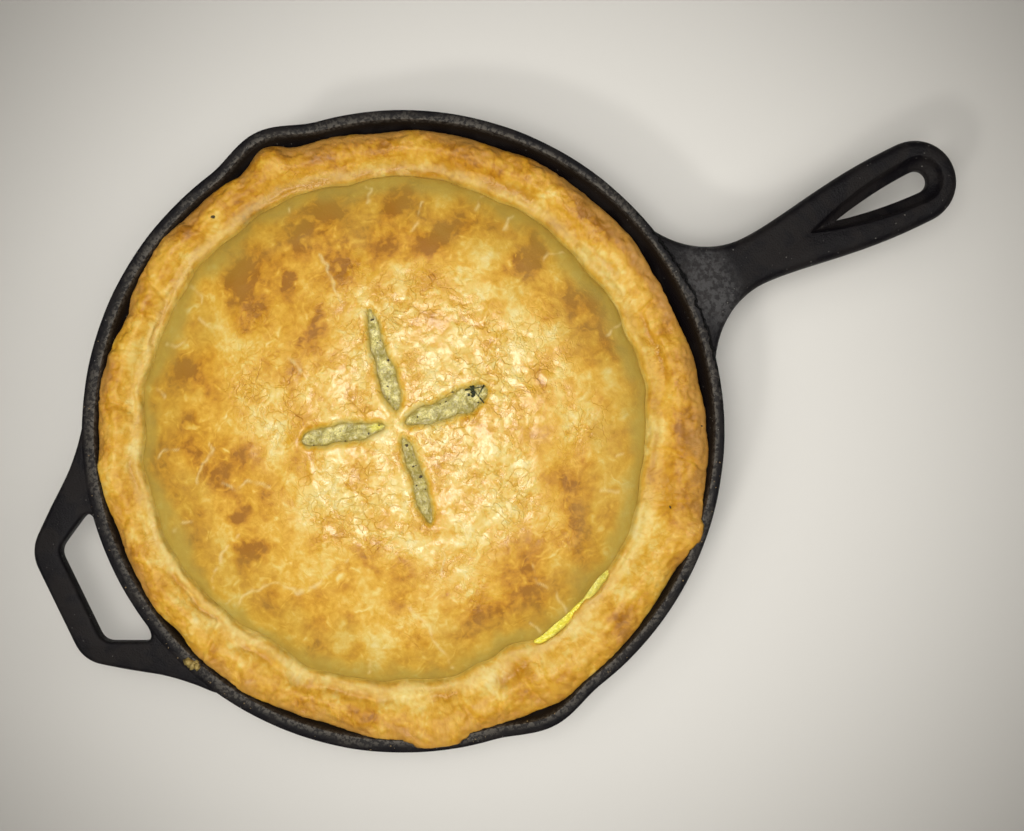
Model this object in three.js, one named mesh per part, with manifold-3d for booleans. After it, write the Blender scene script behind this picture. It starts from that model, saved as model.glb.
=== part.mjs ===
// A chicken pot pie in the cast-iron skillet that it was baked in.
//
// Millimetres, +Z up. The origin is the centre of the skillet's flat underside, +X runs along the
// long handle, and the small helper handle points along -X.
//
//   skillet  one casting: pan, two pour spouts, long handle with a hanging hole, helper handle
//   crust    the pastry lid: a puffed dome, a groove round it and a thick, uneven rolled edge
//   filling  what fills the pan below the lid, and rises into the vents and the two open splits

import * as THREE from 'three';
import { mergeVertices } from 'three/addons/utils/BufferGeometryUtils.js';
import Module from 'manifold-3d';

// ---------------------------------------------------------------- driving dimensions

const GAP = 0.4; // left between pieces that touch
const DEG = Math.PI / 180;

const PAN = {
  height: 57,
  rimRadius: 153, // outside edge of the rim
  baseRadius: 127, // outside of the wall where it meets the base
  wall: 4.4,
  floor: 5,
  baseCorner: 7, // height of the rounded corner under the wall
  segments: 96,
};

// A pour spout is a smooth bulge of the rim that fades out down the wall.
const SPOUTS = [
  { angle: 90.2, halfWidth: 11, reach: 5.7 },
  { angle: 271.2, halfWidth: 11, reach: 4.6 },
];
const SPOUT_FADE = 24; // height below the rim where the bulge has gone

const HANDLE = {
  bottom: 44.4,
  top: 56.4,
  edge: 3.4, // radius of the rounded edges
  rootX: 148,
  rootHalf: 40,
  neckX: 186,
  neckHalf: 12,
  wideX: 266,
  wideHalf: 19.9,
  endX: 290.5,
};
// The hanging hole lies in a teardrop recess, with its sharp end towards the pan.
const RECESS = { pointX: 216, endX: 283, half: 9.7, depth: 5 };
const HANG_HOLE = { pointX: 230, endX: 273.5, half: 4.8 };

const HELPER = {
  bottom: 48.6,
  top: 56.6,
  edge: 2.2,
  barX: -185.2,
  barHalf: 27,
  corner: 10,
  rootX: -146,
  rootHalf: 58.5,
  rootCorner: 12,
  flareX: -131, // where the flare runs into the rim
  flareHalf: 78,
  innerX: -112, // inside the wall
  innerHalf: 62,
  holeBarX: -171.2,
  holeBarHalf: 23,
  holeRootHalf: 34,
  holeRootX: -154,
  holeCorner: 5,
};

// The lid's dome is a circle that sits a little off the pan's centre.
const DOME = { x: -3.2, y: 3.1, radius: 118.5, crown: 66, edgeDrop: 6.6 };
const GROOVE = { height: 51, wobble: 0.9 };
const EDGE = { x: -1.4, y: -1.9, radius: 144.3, crest: 58.2 };
const PASTRY = 4.6; // thickness of the lid
const CRUST_SKIRT = 33; // the rolled edge reaches down the wall to this height
const FILLING_FLOOR = PAN.floor + GAP;

// Each fold or lump of the rolled edge: where it is, how wide, how far it pushes the edge out or
// pulls it in, and how much it lifts or lowers the crest.
const EDGE_FOLDS = [
  { angle: 2, halfWidth: 19, out: -3.4, up: -4.6 },
  { angle: 35, halfWidth: 11, out: 0.7, up: 0.8 },
  { angle: 60, halfWidth: 9, out: 0.9, up: 1.1 },
  { angle: 91, halfWidth: 7, out: 4.2, up: 0.9 },
  { angle: 118, halfWidth: 10, out: 3.6, up: 1.2 },
  { angle: 132, halfWidth: 5, out: -1.6, up: -0.9 },
  { angle: 145, halfWidth: 5, out: 1.7, up: 0.7 },
  { angle: 161, halfWidth: 7, out: 1.5, up: 1.0 },
  { angle: 174, halfWidth: 8, out: -2.2, up: -0.8 },
  { angle: 196, halfWidth: 7, out: -2.0, up: 0.5 },
  { angle: 226, halfWidth: 13, out: -3.8, up: -1.2 },
  { angle: 251, halfWidth: 10, out: 4.6, up: 2.6 },
  { angle: 279, halfWidth: 11, out: 1.5, up: 1.4 },
  { angle: 300, halfWidth: 7, out: -1.2, up: -0.6 },
  { angle: 315, halfWidth: 8, out: 5.0, up: 2.2 },
  { angle: 330, halfWidth: 6, out: 1.2, up: 0.4 },
];
const EDGE_RIPPLES = [
  { waves: 7, height: 0.5, phase: 1.1 },
  { waves: 17, height: 0.45, phase: 2.3 },
  { waves: 29, height: 0.35, phase: 0.6 },
];

// Four slits cut in the lid before baking, each from its inner to its outer end. They opened while
// the pie baked, some wider at one end.
const VENTS = [
  { from: [2.0, 10.2], to: [11.4, 59.2], inner: 11, outer: 5.4 },
  { from: [3.2, 2.4], to: [45.6, -0.6], inner: 8, outer: 13 },
  { from: [-5.6, 6.0], to: [-45.0, 16.6], inner: 7.4, outer: 10.6 },
  { from: [-0.2, -2.8], to: [-6.6, -46.0], inner: 6.4, outer: 7.4 },
];
const VENT_STEPS = 11;
const VENT_SINK = 3.2; // how far the filling lies below the crown

// Two short splits in the groove, where the lid has come away from the edge.
const SPLITS = [
  { start: 276.5, end: 287.5 },
  { start: 291, end: 299 },
];
const SPLIT = { width: 5.4, sink: 1.4 };

const CRUST_ANGLES = 100; // steps round the crust
const FILLING_ANGLES = 44;

const IRON = new THREE.MeshStandardMaterial({ color: 0x2b2725, roughness: 0.62, metalness: 0.55 });
const BAKED = new THREE.MeshStandardMaterial({ color: 0xe2b465, roughness: 0.42, metalness: 0 });
const CREAMY = new THREE.MeshStandardMaterial({ color: 0xb9a566, roughness: 0.35, metalness: 0 });

// ---------------------------------------------------------------- solids and booleans

const wasm = await Module();
wasm.setup();

// A closed geometry as a solid: corners merged, and triangles that collapse on the axis dropped.
function toSolid(geometry) {
  geometry.deleteAttribute('normal');
  geometry.deleteAttribute('uv');
  const merged = mergeVertices(geometry, 1e-4);
  const corners = merged.index.array;
  const kept = [];
  for (let i = 0; i < corners.length; i += 3) {
    const [a, b, c] = corners.slice(i, i + 3);
    if (a !== b && b !== c && c !== a) kept.push(a, b, c);
  }
  const mesh = new wasm.Mesh({
    numProp: 3,
    vertProperties: new Float32Array(merged.attributes.position.array),
    triVerts: new Uint32Array(kept),
  });
  return new wasm.Manifold(mesh);
}

function toMesh(name, solid, material) {
  const { vertProperties, triVerts } = solid.getMesh();
  const geometry = new THREE.BufferGeometry();
  geometry.setAttribute('position', new THREE.BufferAttribute(vertProperties, 3));
  geometry.setIndex(new THREE.BufferAttribute(triVerts, 1));
  geometry.computeVertexNormals();
  const mesh = new THREE.Mesh(geometry, material);
  mesh.name = name;
  return mesh;
}

// A turned solid whose section changes with the angle. section(angle) gives the same number of
// [radius, height] points at every angle, from the axis out, up and back to the axis.
function turned(section, segments) {
  const count = section(0).length;
  const blank = Array.from({ length: count }, (_, j) => new THREE.Vector2(1, j));
  const geometry = new THREE.LatheGeometry(blank, segments);
  const position = geometry.attributes.position;
  for (let i = 0; i <= segments; i += 1) {
    const angle = ((i % segments) / segments) * 2 * Math.PI;
    section(angle).forEach(([radius, height], j) => {
      position.setXYZ(i * count + j, radius * Math.cos(angle), radius * Math.sin(angle), height);
    });
  }
  return toSolid(geometry);
}

// A flat outline made thick between two heights, with rounded edges where edge isn't 0.
function plateGeometry(shape, bottom, top, edge = 0) {
  const geometry = new THREE.ExtrudeGeometry(shape, {
    depth: top - bottom - 2 * edge,
    steps: 1,
    curveSegments: 8,
    bevelEnabled: edge > 0,
    bevelThickness: edge,
    bevelSize: edge,
    bevelOffset: -edge,
    bevelSegments: 2,
  });
  return geometry.translate(0, 0, bottom + edge);
}

function plate(shape, bottom, top) {
  return toSolid(plateGeometry(shape, bottom, top));
}

// A closed outline through corner points, each rounded by its own radius.
function roundedOutline(corners, Kind = THREE.Shape) {
  const outline = new Kind();
  corners.forEach((corner, i) => {
    const here = new THREE.Vector2(corner.x, corner.y);
    const before = corners[(i + corners.length - 1) % corners.length];
    const after = corners[(i + 1) % corners.length];
    const entry = new THREE.Vector2(before.x, before.y).sub(here).setLength(corner.r).add(here);
    const exit = new THREE.Vector2(after.x, after.y).sub(here).setLength(corner.r).add(here);
    if (i === 0) outline.moveTo(entry.x, entry.y);
    else outline.lineTo(entry.x, entry.y);
    outline.quadraticCurveTo(here.x, here.y, exit.x, exit.y);
  });
  return outline;
}

// 1 at the middle of a bump, falling smoothly to 0 at its half-width. Angles in degrees.
function bump(angle, middle, halfWidth) {
  const away = Math.abs(((angle - middle + 540) % 360) - 180);
  return away < halfWidth ? Math.cos((away / halfWidth) * (Math.PI / 2)) ** 2 : 0;
}

// ---------------------------------------------------------------- skillet

// How far the wall leans outwards for each millimetre up.
const WALL_LEAN = (PAN.rimRadius - PAN.baseRadius) / (PAN.height - 1.5 - PAN.baseCorner);

// How far the wall bulges outwards for the spouts.
function spoutBulge(angle, height) {
  const fade = THREE.MathUtils.smoothstep(height, PAN.height - SPOUT_FADE, PAN.height);
  const reach = (spout) => spout.reach * bump(angle / DEG, spout.angle, spout.halfWidth);
  return fade * SPOUTS.reduce((sum, spout) => sum + reach(spout), 0);
}

// The wall goes in a straight line from its foot to the rim.
function wallOutside(angle, height) {
  const radius = PAN.baseRadius + WALL_LEAN * (height - PAN.baseCorner);
  return Math.min(radius, PAN.rimRadius) + spoutBulge(angle, height);
}

function wallInside(angle, height) {
  return wallOutside(angle, height) - PAN.wall;
}

function panOutside(angle) {
  const levels = [PAN.baseCorner, 34, 45, PAN.height - 1.5, PAN.height - 0.5];
  return [
    [0, 0],
    [PAN.baseRadius - 8, 0],
    [PAN.baseRadius - 3, 2],
    ...levels.map((height) => [wallOutside(angle, height), height]),
    [wallOutside(angle, PAN.height) - 0.6, PAN.height],
    [0, PAN.height],
  ];
}

function panInside(angle) {
  const levels = [PAN.floor + 6, 34, 45, PAN.height - 1, PAN.height + 8];
  return [
    [0, PAN.floor],
    [PAN.baseRadius - PAN.wall - 8, PAN.floor],
    [PAN.baseRadius - PAN.wall - 2, PAN.floor + 2],
    ...levels.map((height) => [wallInside(angle, height), height]),
    [0, PAN.height + 8],
  ];
}

function teardrop({ pointX, endX, half }) {
  const roundX = endX - half;
  const shape = new THREE.Shape();
  shape.moveTo(pointX, 0);
  shape.bezierCurveTo(pointX + (roundX - pointX) * 0.45, half * 0.85, roundX - half, half, roundX, half);
  shape.absarc(roundX, 0, half, Math.PI / 2, -Math.PI / 2, true);
  shape.bezierCurveTo(roundX - half, -half, pointX + (roundX - pointX) * 0.45, -half * 0.85, pointX, 0);
  return shape;
}

// The recess tapers from its own outline at the top face to the outline of the hole.
function recessCutter() {
  const above = 1;
  const geometry = new THREE.ExtrudeGeometry(teardrop(RECESS), {
    depth: RECESS.depth + above,
    steps: 1,
    curveSegments: 9,
    bevelEnabled: false,
  });
  const along = (HANG_HOLE.endX - HANG_HOLE.pointX) / (RECESS.endX - RECESS.pointX);
  const across = HANG_HOLE.half / RECESS.half;
  const position = geometry.attributes.position;
  for (let i = 0; i < position.count; i += 1) {
    if (position.getZ(i) === 0) {
      position.setX(i, HANG_HOLE.pointX + (position.getX(i) - RECESS.pointX) * along);
      position.setY(i, position.getY(i) * across);
    }
  }
  geometry.translate(0, 0, HANDLE.top - RECESS.depth);
  return toSolid(geometry);
}

// A handle's root leans with the wall that it grows out of; past farX the handle is level.
function leanRoot(geometry, nearX, farX) {
  const position = geometry.attributes.position;
  for (let i = 0; i < position.count; i += 1) {
    const x = position.getX(i);
    const share = 1 - THREE.MathUtils.smoothstep(Math.abs(x), nearX, farX);
    const inwards = share * WALL_LEAN * (PAN.height - position.getZ(i));
    position.setX(i, x - Math.sign(x) * inwards);
  }
  return toSolid(geometry);
}

function longHandle() {
  const h = HANDLE;
  const roundX = h.endX - h.wideHalf;
  const flare = 0.36 * (h.neckX - h.rootX);
  const shape = new THREE.Shape();
  shape.moveTo(h.rootX - 14, h.rootHalf);
  shape.lineTo(h.rootX, h.rootHalf);
  shape.bezierCurveTo(h.rootX + 10, h.rootHalf / 2, h.neckX - flare, h.neckHalf, h.neckX, h.neckHalf);
  shape.bezierCurveTo(h.neckX + 20, h.neckHalf, h.wideX - 34, h.wideHalf, h.wideX, h.wideHalf);
  shape.lineTo(roundX, h.wideHalf);
  shape.absarc(roundX, 0, h.wideHalf, Math.PI / 2, -Math.PI / 2, true);
  shape.lineTo(h.wideX, -h.wideHalf);
  shape.bezierCurveTo(h.wideX - 34, -h.wideHalf, h.neckX + 20, -h.neckHalf, h.neckX, -h.neckHalf);
  shape.bezierCurveTo(h.neckX - flare, -h.neckHalf, h.rootX + 10, -h.rootHalf / 2, h.rootX, -h.rootHalf);
  shape.lineTo(h.rootX - 14, -h.rootHalf);
  const hole = plate(teardrop(HANG_HOLE), h.bottom - 1, h.top + 1);
  const bar = leanRoot(plateGeometry(shape, h.bottom, h.top, h.edge), h.rootX, h.neckX);
  return bar.subtract(recessCutter()).subtract(hole);
}

function helperHandle() {
  const h = HELPER;
  const side = [
    { x: h.innerX, y: h.innerHalf, r: 6 },
    { x: h.flareX, y: h.flareHalf, r: 6 },
    { x: h.rootX, y: h.rootHalf, r: h.rootCorner },
    { x: h.barX, y: h.barHalf, r: h.corner },
  ];
  const mirrored = side.map(({ x, y, r }) => ({ x, y: -y, r })).reverse();
  const outline = roundedOutline([...side, ...mirrored]);
  outline.holes.push(
    roundedOutline(
      [
        { x: h.holeBarX, y: h.holeBarHalf, r: h.holeCorner },
        { x: h.holeRootX, y: h.holeRootHalf, r: h.holeCorner },
        { x: h.holeRootX + 12, y: h.holeRootHalf, r: h.holeCorner },
        { x: h.holeRootX + 12, y: -h.holeRootHalf, r: h.holeCorner },
        { x: h.holeRootX, y: -h.holeRootHalf, r: h.holeCorner },
        { x: h.holeBarX, y: -h.holeBarHalf, r: h.holeCorner },
      ],
      THREE.Path,
    ),
  );
  return leanRoot(plateGeometry(outline, h.bottom, h.top, h.edge), -h.holeRootX, -h.barX);
}

function skillet() {
  const cast = turned(panOutside, PAN.segments).add(longHandle()).add(helperHandle());
  return cast.subtract(turned(panInside, PAN.segments));
}

// ---------------------------------------------------------------- crust

// Radius, seen from the pan's centre, of a circle whose own centre lies elsewhere.
function circleSeenFromCentre(angle, { x, y, radius }) {
  const towards = x * Math.cos(angle) + y * Math.sin(angle);
  return towards + Math.sqrt(radius ** 2 - x ** 2 - y ** 2 + towards ** 2);
}

function ripple(angle) {
  return EDGE_RIPPLES.reduce((sum, wave) => sum + wave.height * Math.sin(wave.waves * angle + wave.phase), 0);
}

function folds(angle, key) {
  return EDGE_FOLDS.reduce((sum, fold) => sum + fold[key] * bump(angle / DEG, fold.angle, fold.halfWidth), 0);
}

function grooveRadius(angle) {
  return circleSeenFromCentre(angle, DOME) + GROOVE.wobble * Math.sin(5 * angle + 0.7);
}

function grooveHeight(angle) {
  return GROOVE.height + 0.7 * Math.sin(4 * angle + 1.9) + 0.25 * folds(angle, 'up');
}

function edgeRadius(angle) {
  return circleSeenFromCentre(angle, EDGE) + folds(angle, 'out') + ripple(angle);
}

function crestHeight(angle) {
  return EDGE.crest + folds(angle, 'up') + 0.8 * ripple(angle + 0.2);
}

// Height of the dome at a share k of the way from its middle to the groove: gently crowned, with a
// steep shoulder.
function domeHeight(angle, k) {
  const low = grooveHeight(angle);
  const crown = (DOME.crown - DOME.edgeDrop - low) * (1 - k * k);
  const shoulder = DOME.edgeDrop * Math.sqrt(1 - k ** 8);
  return low + crown + shoulder;
}

const DOME_STEPS = [0.25, 0.45, 0.62, 0.76, 0.86, 0.92, 0.96, 0.985];
const RING_PROFILE = [
  [0.07, 0.3],
  [0.2, 0.72],
  [0.36, 0.96],
  [0.52, 1],
  [0.7, 0.93],
  [0.86, 0.72],
];
const UNDER_STEPS = [0.9, 0.66, 0.4];

// The lid's section at one angle, from the middle of its underside out to the skirt, up the wall,
// over the rolled edge and across the groove to the top of the dome.
function crustSection(angle) {
  const groove = grooveRadius(angle);
  const low = grooveHeight(angle);
  const crest = crestHeight(angle);
  const edge = edgeRadius(angle);
  const underside = [...UNDER_STEPS].reverse().map((k) => [groove * k, domeHeight(angle, k) - PASTRY - 0.6]);
  const wallAt = (height, inset) => Math.min(edge - inset, wallInside(angle, height) - GAP - 0.15);
  const sides = [
    [wallAt(CRUST_SKIRT, 0), CRUST_SKIRT],
    [wallAt(CRUST_SKIRT + 7, 0), CRUST_SKIRT + 7],
    [wallAt(crest - 9.5, 0.6), crest - 9.5],
    [wallAt(Math.min(crest - 5.5, PAN.height - 1), 0), Math.min(crest - 5.5, PAN.height - 1)],
  ];
  const overRim = edge > wallInside(angle, PAN.height) - 1;
  const lip = overRim
    ? [[wallInside(angle, PAN.height) - 0.6, PAN.height + 0.5], [edge, PAN.height + 1.7]]
    : [[edge + 0.1, crest - 4.4], [edge - 0.2, crest - 3.2]];
  const ring = RING_PROFILE.map(([share, rise]) => [
    groove + (edge - groove) * share,
    low + (crest - low) * rise,
  ]).reverse();
  const dome = DOME_STEPS.map((k) => [groove * k, domeHeight(angle, k)]).reverse();
  return [
    [0, domeHeight(0, 0) - PASTRY - 0.6],
    ...underside,
    [groove + 3, low - PASTRY - 2.5],
    [groove + 9, CRUST_SKIRT],
    ...sides,
    ...lip,
    ...ring,
    [groove, low],
    ...dome,
    [0, domeHeight(0, 0)],
  ];
}

// A slit with round ends between two points, widened all round by grow.
function slit({ from, to, inner, outer }, bottom, top, grow) {
  const start = new THREE.Vector2(...from);
  const end = new THREE.Vector2(...to);
  const along = end.clone().sub(start).normalize();
  const across = new THREE.Vector2(-along.y, along.x);
  start.addScaledVector(along, -grow);
  end.addScaledVector(along, grow);
  const edge = (share, side) => {
    const half = THREE.MathUtils.lerp(inner, outer, share) / 2 + grow;
    const round = Math.sqrt(1 - Math.abs(2 * share - 1) ** 3);
    return start.clone().lerp(end, share).addScaledVector(across, side * half * round);
  };
  // Steps are closer together at the round ends.
  const shares = Array.from({ length: VENT_STEPS }, (_, i) => (1 - Math.cos((i / VENT_STEPS) * Math.PI)) / 2);
  const left = shares.map((share) => edge(share, 1));
  const right = shares.map((share) => edge(1 - share, -1));
  return plate(new THREE.Shape([...left, ...right]), bottom, top);
}

// A short curved split that follows the groove, widened all round by grow.
function split({ start, end }, bottom, top, grow) {
  const middle = ((start + end) / 2) * DEG;
  const radius = grooveRadius(middle) + 1;
  const half = SPLIT.width / 2 + grow;
  const extra = grow / radius;
  const shape = new THREE.Shape();
  shape.absarc(0, 0, radius + half, start * DEG - extra, end * DEG + extra, false);
  shape.absarc(0, 0, radius - half, end * DEG + extra, start * DEG - extra, true);
  return plate(shape, bottom, top);
}

function splitTop({ start, end }) {
  return grooveHeight(((start + end) / 2) * DEG) - SPLIT.sink;
}

// The room that the wall and the rim take, with the gap round them.
function wallRoom(angle) {
  const inside = [PAN.floor, 34, 45, PAN.height - 1].map((height) => [wallInside(angle, height) - GAP, height]);
  const outside = wallOutside(angle, PAN.height) + 12;
  return [
    ...inside,
    [wallInside(angle, PAN.height) - GAP, PAN.height + GAP],
    [outside, PAN.height + GAP],
    [outside, PAN.floor],
    inside[0],
  ].reverse();
}

function crust() {
  const below = 20;
  const above = DOME.crown + 20;
  const lid = turned(crustSection, CRUST_ANGLES).subtract(turned(wallRoom, PAN.segments));
  const vented = VENTS.reduce((solid, vent) => solid.subtract(slit(vent, below, above, 0)), lid);
  return SPLITS.reduce((solid, opening) => solid.subtract(split(opening, below, above, 0)), vented);
}

// ---------------------------------------------------------------- filling

// The filling lies on the pan's floor, against its wall and under the lid.
function fillingSection(angle) {
  const groove = grooveRadius(angle);
  const low = grooveHeight(angle);
  const clear = GAP + 0.5;
  const wallAt = (height) => wallInside(angle, height) - GAP;
  const top = [0.92, ...UNDER_STEPS].map((k) => [groove * k - 0.5, domeHeight(angle, k) - PASTRY - 0.6 - clear]);
  return [
    [0, FILLING_FLOOR],
    [PAN.baseRadius - PAN.wall - 9, FILLING_FLOOR],
    [PAN.baseRadius - PAN.wall - 3, FILLING_FLOOR + 2.4],
    [wallAt(PAN.floor + 6) - 0.4, PAN.floor + 6.5],
    [wallAt(22) - 0.2, 22],
    [wallAt(CRUST_SKIRT - GAP) - 0.2, CRUST_SKIRT - GAP],
    [groove + 8, CRUST_SKIRT - GAP],
    [groove + 1.4, low - PASTRY - 3.6],
    ...top,
    [0, domeHeight(0, 0) - PASTRY - 0.6 - clear],
  ];
}

function filling() {
  const body = turned(fillingSection, FILLING_ANGLES);
  const foot = 30;
  const vented = VENTS.reduce((solid, vent) => solid.add(slit(vent, foot, DOME.crown - VENT_SINK, -GAP)), body);
  return SPLITS.reduce((solid, opening) => solid.add(split(opening, foot, splitTop(opening), -GAP)), vented);
}

// ---------------------------------------------------------------- the whole part

const pie = new THREE.Group();
pie.add(toMesh('skillet', skillet(), IRON));
pie.add(toMesh('crust', crust(), BAKED));
pie.add(toMesh('filling', filling(), CREAMY));

export default pie;
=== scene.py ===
"""The finished looks of a chicken pot pie and the cast-iron skillet that it was baked in.

Pieces are shaped in millimetres and scaled to metres when their mesh is done. The axes are the part's
own: the origin is under the middle of the skillet, +X runs along the long handle and +Z points up.
Angles round the pie are in degrees, counter-clockwise from +X, unless a name says otherwise.
"""

import logging
import math
import random
from dataclasses import dataclass
from enum import Enum
from typing import Sequence

import bmesh
import bpy
import numpy as np
from mathutils import Matrix, Vector, noise
from mathutils.geometry import interpolate_bezier

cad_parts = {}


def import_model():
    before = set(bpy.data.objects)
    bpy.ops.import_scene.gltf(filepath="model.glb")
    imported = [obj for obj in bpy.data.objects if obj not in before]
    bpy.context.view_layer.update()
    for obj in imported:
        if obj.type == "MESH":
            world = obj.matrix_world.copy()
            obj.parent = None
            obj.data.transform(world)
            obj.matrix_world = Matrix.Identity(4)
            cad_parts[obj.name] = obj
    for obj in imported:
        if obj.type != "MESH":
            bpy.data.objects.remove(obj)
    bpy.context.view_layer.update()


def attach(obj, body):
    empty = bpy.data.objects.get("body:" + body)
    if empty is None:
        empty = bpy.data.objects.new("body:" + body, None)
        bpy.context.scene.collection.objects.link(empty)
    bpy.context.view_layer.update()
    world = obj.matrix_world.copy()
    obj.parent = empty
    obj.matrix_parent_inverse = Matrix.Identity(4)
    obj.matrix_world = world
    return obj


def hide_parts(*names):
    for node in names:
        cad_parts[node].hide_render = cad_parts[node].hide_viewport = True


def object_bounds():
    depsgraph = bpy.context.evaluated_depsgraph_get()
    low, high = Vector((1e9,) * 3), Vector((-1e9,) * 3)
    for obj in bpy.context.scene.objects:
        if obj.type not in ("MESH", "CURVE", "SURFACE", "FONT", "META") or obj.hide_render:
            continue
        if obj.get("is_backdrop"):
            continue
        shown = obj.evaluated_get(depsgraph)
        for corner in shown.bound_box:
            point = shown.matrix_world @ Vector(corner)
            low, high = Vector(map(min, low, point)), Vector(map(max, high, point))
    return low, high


LOG = logging.getLogger("pot_pie")
MM = 0.001

Array = np.ndarray
Colour = tuple[float, float, float]
Point = tuple[float, float]
Shape = bmesh.types.BMesh
Corner = bmesh.types.BMVert
Edge = bmesh.types.BMEdge
Piece = bpy.types.Object
Material = bpy.types.Material
Tree = bpy.types.NodeTree
Node = bpy.types.Node
Socket = bpy.types.NodeSocket
Input = Socket | float | Sequence[float]


# ----- numbers


def ease(value: Array, low: float, high: float) -> Array:
    """Rises from 0 at low to 1 at high in a soft S."""
    share = np.clip((value - low) / (high - low), 0.0, 1.0)
    return share * share * (3.0 - 2.0 * share)


def fall(value: Array, low: float, high: float) -> Array:
    """Falls from 1 at low to 0 at high in a soft S."""
    return 1.0 - ease(value, low, high)


def bell(value: Array) -> Array:
    """A bell curve: 1 at 0, and next to 0 beyond 2."""
    return np.exp(-(value**2))


def between(turn: Array) -> Array:
    """A difference of two angles, brought to between -180 and 180 degrees."""
    return (turn + 540.0) % 360.0 - 180.0


def hill(angle: Array, middle: float, half_width: float) -> Array:
    """A smooth hill over an arc: 1 at its middle, 0 from half_width on."""
    away = np.abs(between(angle - middle))
    return np.where(away < half_width, np.cos(away / half_width * np.pi / 2) ** 2, 0.0)


def level(x: Array, y: Array) -> Array:
    """Places at height 0, one a row."""
    return np.column_stack([x, y, np.zeros_like(x)])


def polar(where: Array) -> tuple[Array, Array]:
    """Radius and angle of each place."""
    return np.hypot(where[:, 0], where[:, 1]), np.degrees(np.arctan2(where[:, 1], where[:, 0]))


def around(radius: Array, turn: Array, height: Array) -> Array:
    """Places at a radius, a turn in radians and a height, one a row."""
    return np.column_stack([radius * np.cos(turn), radius * np.sin(turn), height])


def lumps(points: Array, size: float, octaves: int = 3, shift: float = 0.0) -> Array:
    """Cloudy noise about 0."""
    offset = Vector((shift, 1.7 * shift, 0.6 * shift))
    return np.array([noise.fractal(Vector(p) / size + offset, 0.9, 2.0, octaves) for p in points])


def strayed(x: Array, y: Array, reach: float, size: float, octaves: int, shift: float) -> tuple[Array, Array]:
    """Pushes places about with noise of a reach and a size."""
    flat = level(x, y)
    return x + reach * lumps(flat, size, octaves, shift), y + reach * lumps(flat, size, octaves, shift + 3.0)


def creases(points: Array, size: float, octaves: int = 3, shift: float = 0.0) -> Array:
    """Thin branching lines, as in crumpled film.

    Args:
        points: One place a row, in millimetres.
        size: How far apart the widest lines are.
        octaves: Number of layers.
        shift: Moves the lines, so that two calls differ.

    Returns:
        One value for each point: near 1 on a line, and near 0 between lines.
    """
    offset = Vector((shift, 0.4 * shift, 1.3 * shift))
    values = [noise.ridged_multi_fractal(Vector(p) / size + offset, 0.9, 2.1, octaves, 1.0, 1.5) for p in points]
    return np.clip((np.array(values) - 0.75) / 0.85, 0.0, 1.0)


def distance_to_path(x: Array, y: Array, path: Sequence[Point]) -> Array:
    """Distance of each place from a path of straight stretches.

    Args:
        x: X of each place.
        y: Y of each place.
        path: Corners of the path.

    Returns:
        One distance for each place.
    """
    nearest = np.full_like(x, 1e9)
    for (ax, ay), (bx, by) in zip(path, path[1:]):
        length = (bx - ax) ** 2 + (by - ay) ** 2
        share = np.clip(((x - ax) * (bx - ax) + (y - ay) * (by - ay)) / length, 0.0, 1.0)
        nearest = np.minimum(nearest, np.hypot(x - ax - share * (bx - ax), y - ay - share * (by - ay)))
    return nearest


def many(kind: type, *rows: tuple[float, ...]) -> tuple:
    """Makes one item of a kind from each row of numbers."""
    return tuple(kind(*row) for row in rows)


# ----- form of the skillet


@dataclass(frozen=True)
class Spout:
    """A pour spout: a smooth bulge of the rim."""

    angle: float
    half_width: float
    reach: float


@dataclass(frozen=True)
class PanForm:
    """The skillet's pan: a leaning wall between a flat base and a level rim."""

    height: float = 57.0
    rim_radius: float = 153.0
    base_radius: float = 127.0
    wall: float = 4.4
    floor: float = 5.0
    base_corner: float = 7.0
    spout_fade: float = 24.0
    lip: float = 2.0
    lip_side: float = 195.0
    spouts: tuple[Spout, ...] = (Spout(90.2, 11.0, 5.7), Spout(271.2, 11.0, 4.6))

    @property
    def lean(self) -> float:
        """How far the wall leans out for each millimetre up."""
        return (self.rim_radius - self.base_radius) / (self.height - 1.5 - self.base_corner)

    def bulge(self, angle: Array, height: Array) -> Array:
        """How far the spouts push the wall out at an angle and a height."""
        fade = ease(height, self.height - self.spout_fade, self.height)
        return fade * sum(spout.reach * hill(angle, spout.angle, spout.half_width) for spout in self.spouts)

    def outside(self, angle: Array, height: Array) -> Array:
        """Radius of the wall's outside at an angle and a height."""
        radius = self.base_radius + self.lean * (height - self.base_corner)
        return np.minimum(radius, self.rim_radius) + self.bulge(angle, height)

    def thickening(self, angle: Array, height: Array) -> Array:
        """How much thicker the wall gets towards the rim on the helper handle's side."""
        towards = 0.5 + 0.5 * np.cos(np.radians(angle - self.lip_side))
        return self.lip * towards * ease(height, 44.0, 56.0)

    def inside(self, angle: Array, height: Array) -> Array:
        """Radius of the wall's inside at an angle and a height."""
        return self.outside(angle, height) - self.wall - self.thickening(angle, height)


# ----- form of the crust


@dataclass(frozen=True)
class Fold:
    """One fold or lump of the rolled edge: its place, width, reach outwards and lift."""

    angle: float
    half_width: float
    out: float
    up: float


@dataclass(frozen=True)
class Ripple:
    """A small regular wave round the rolled edge."""

    waves: int
    height: float
    phase: float


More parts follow.
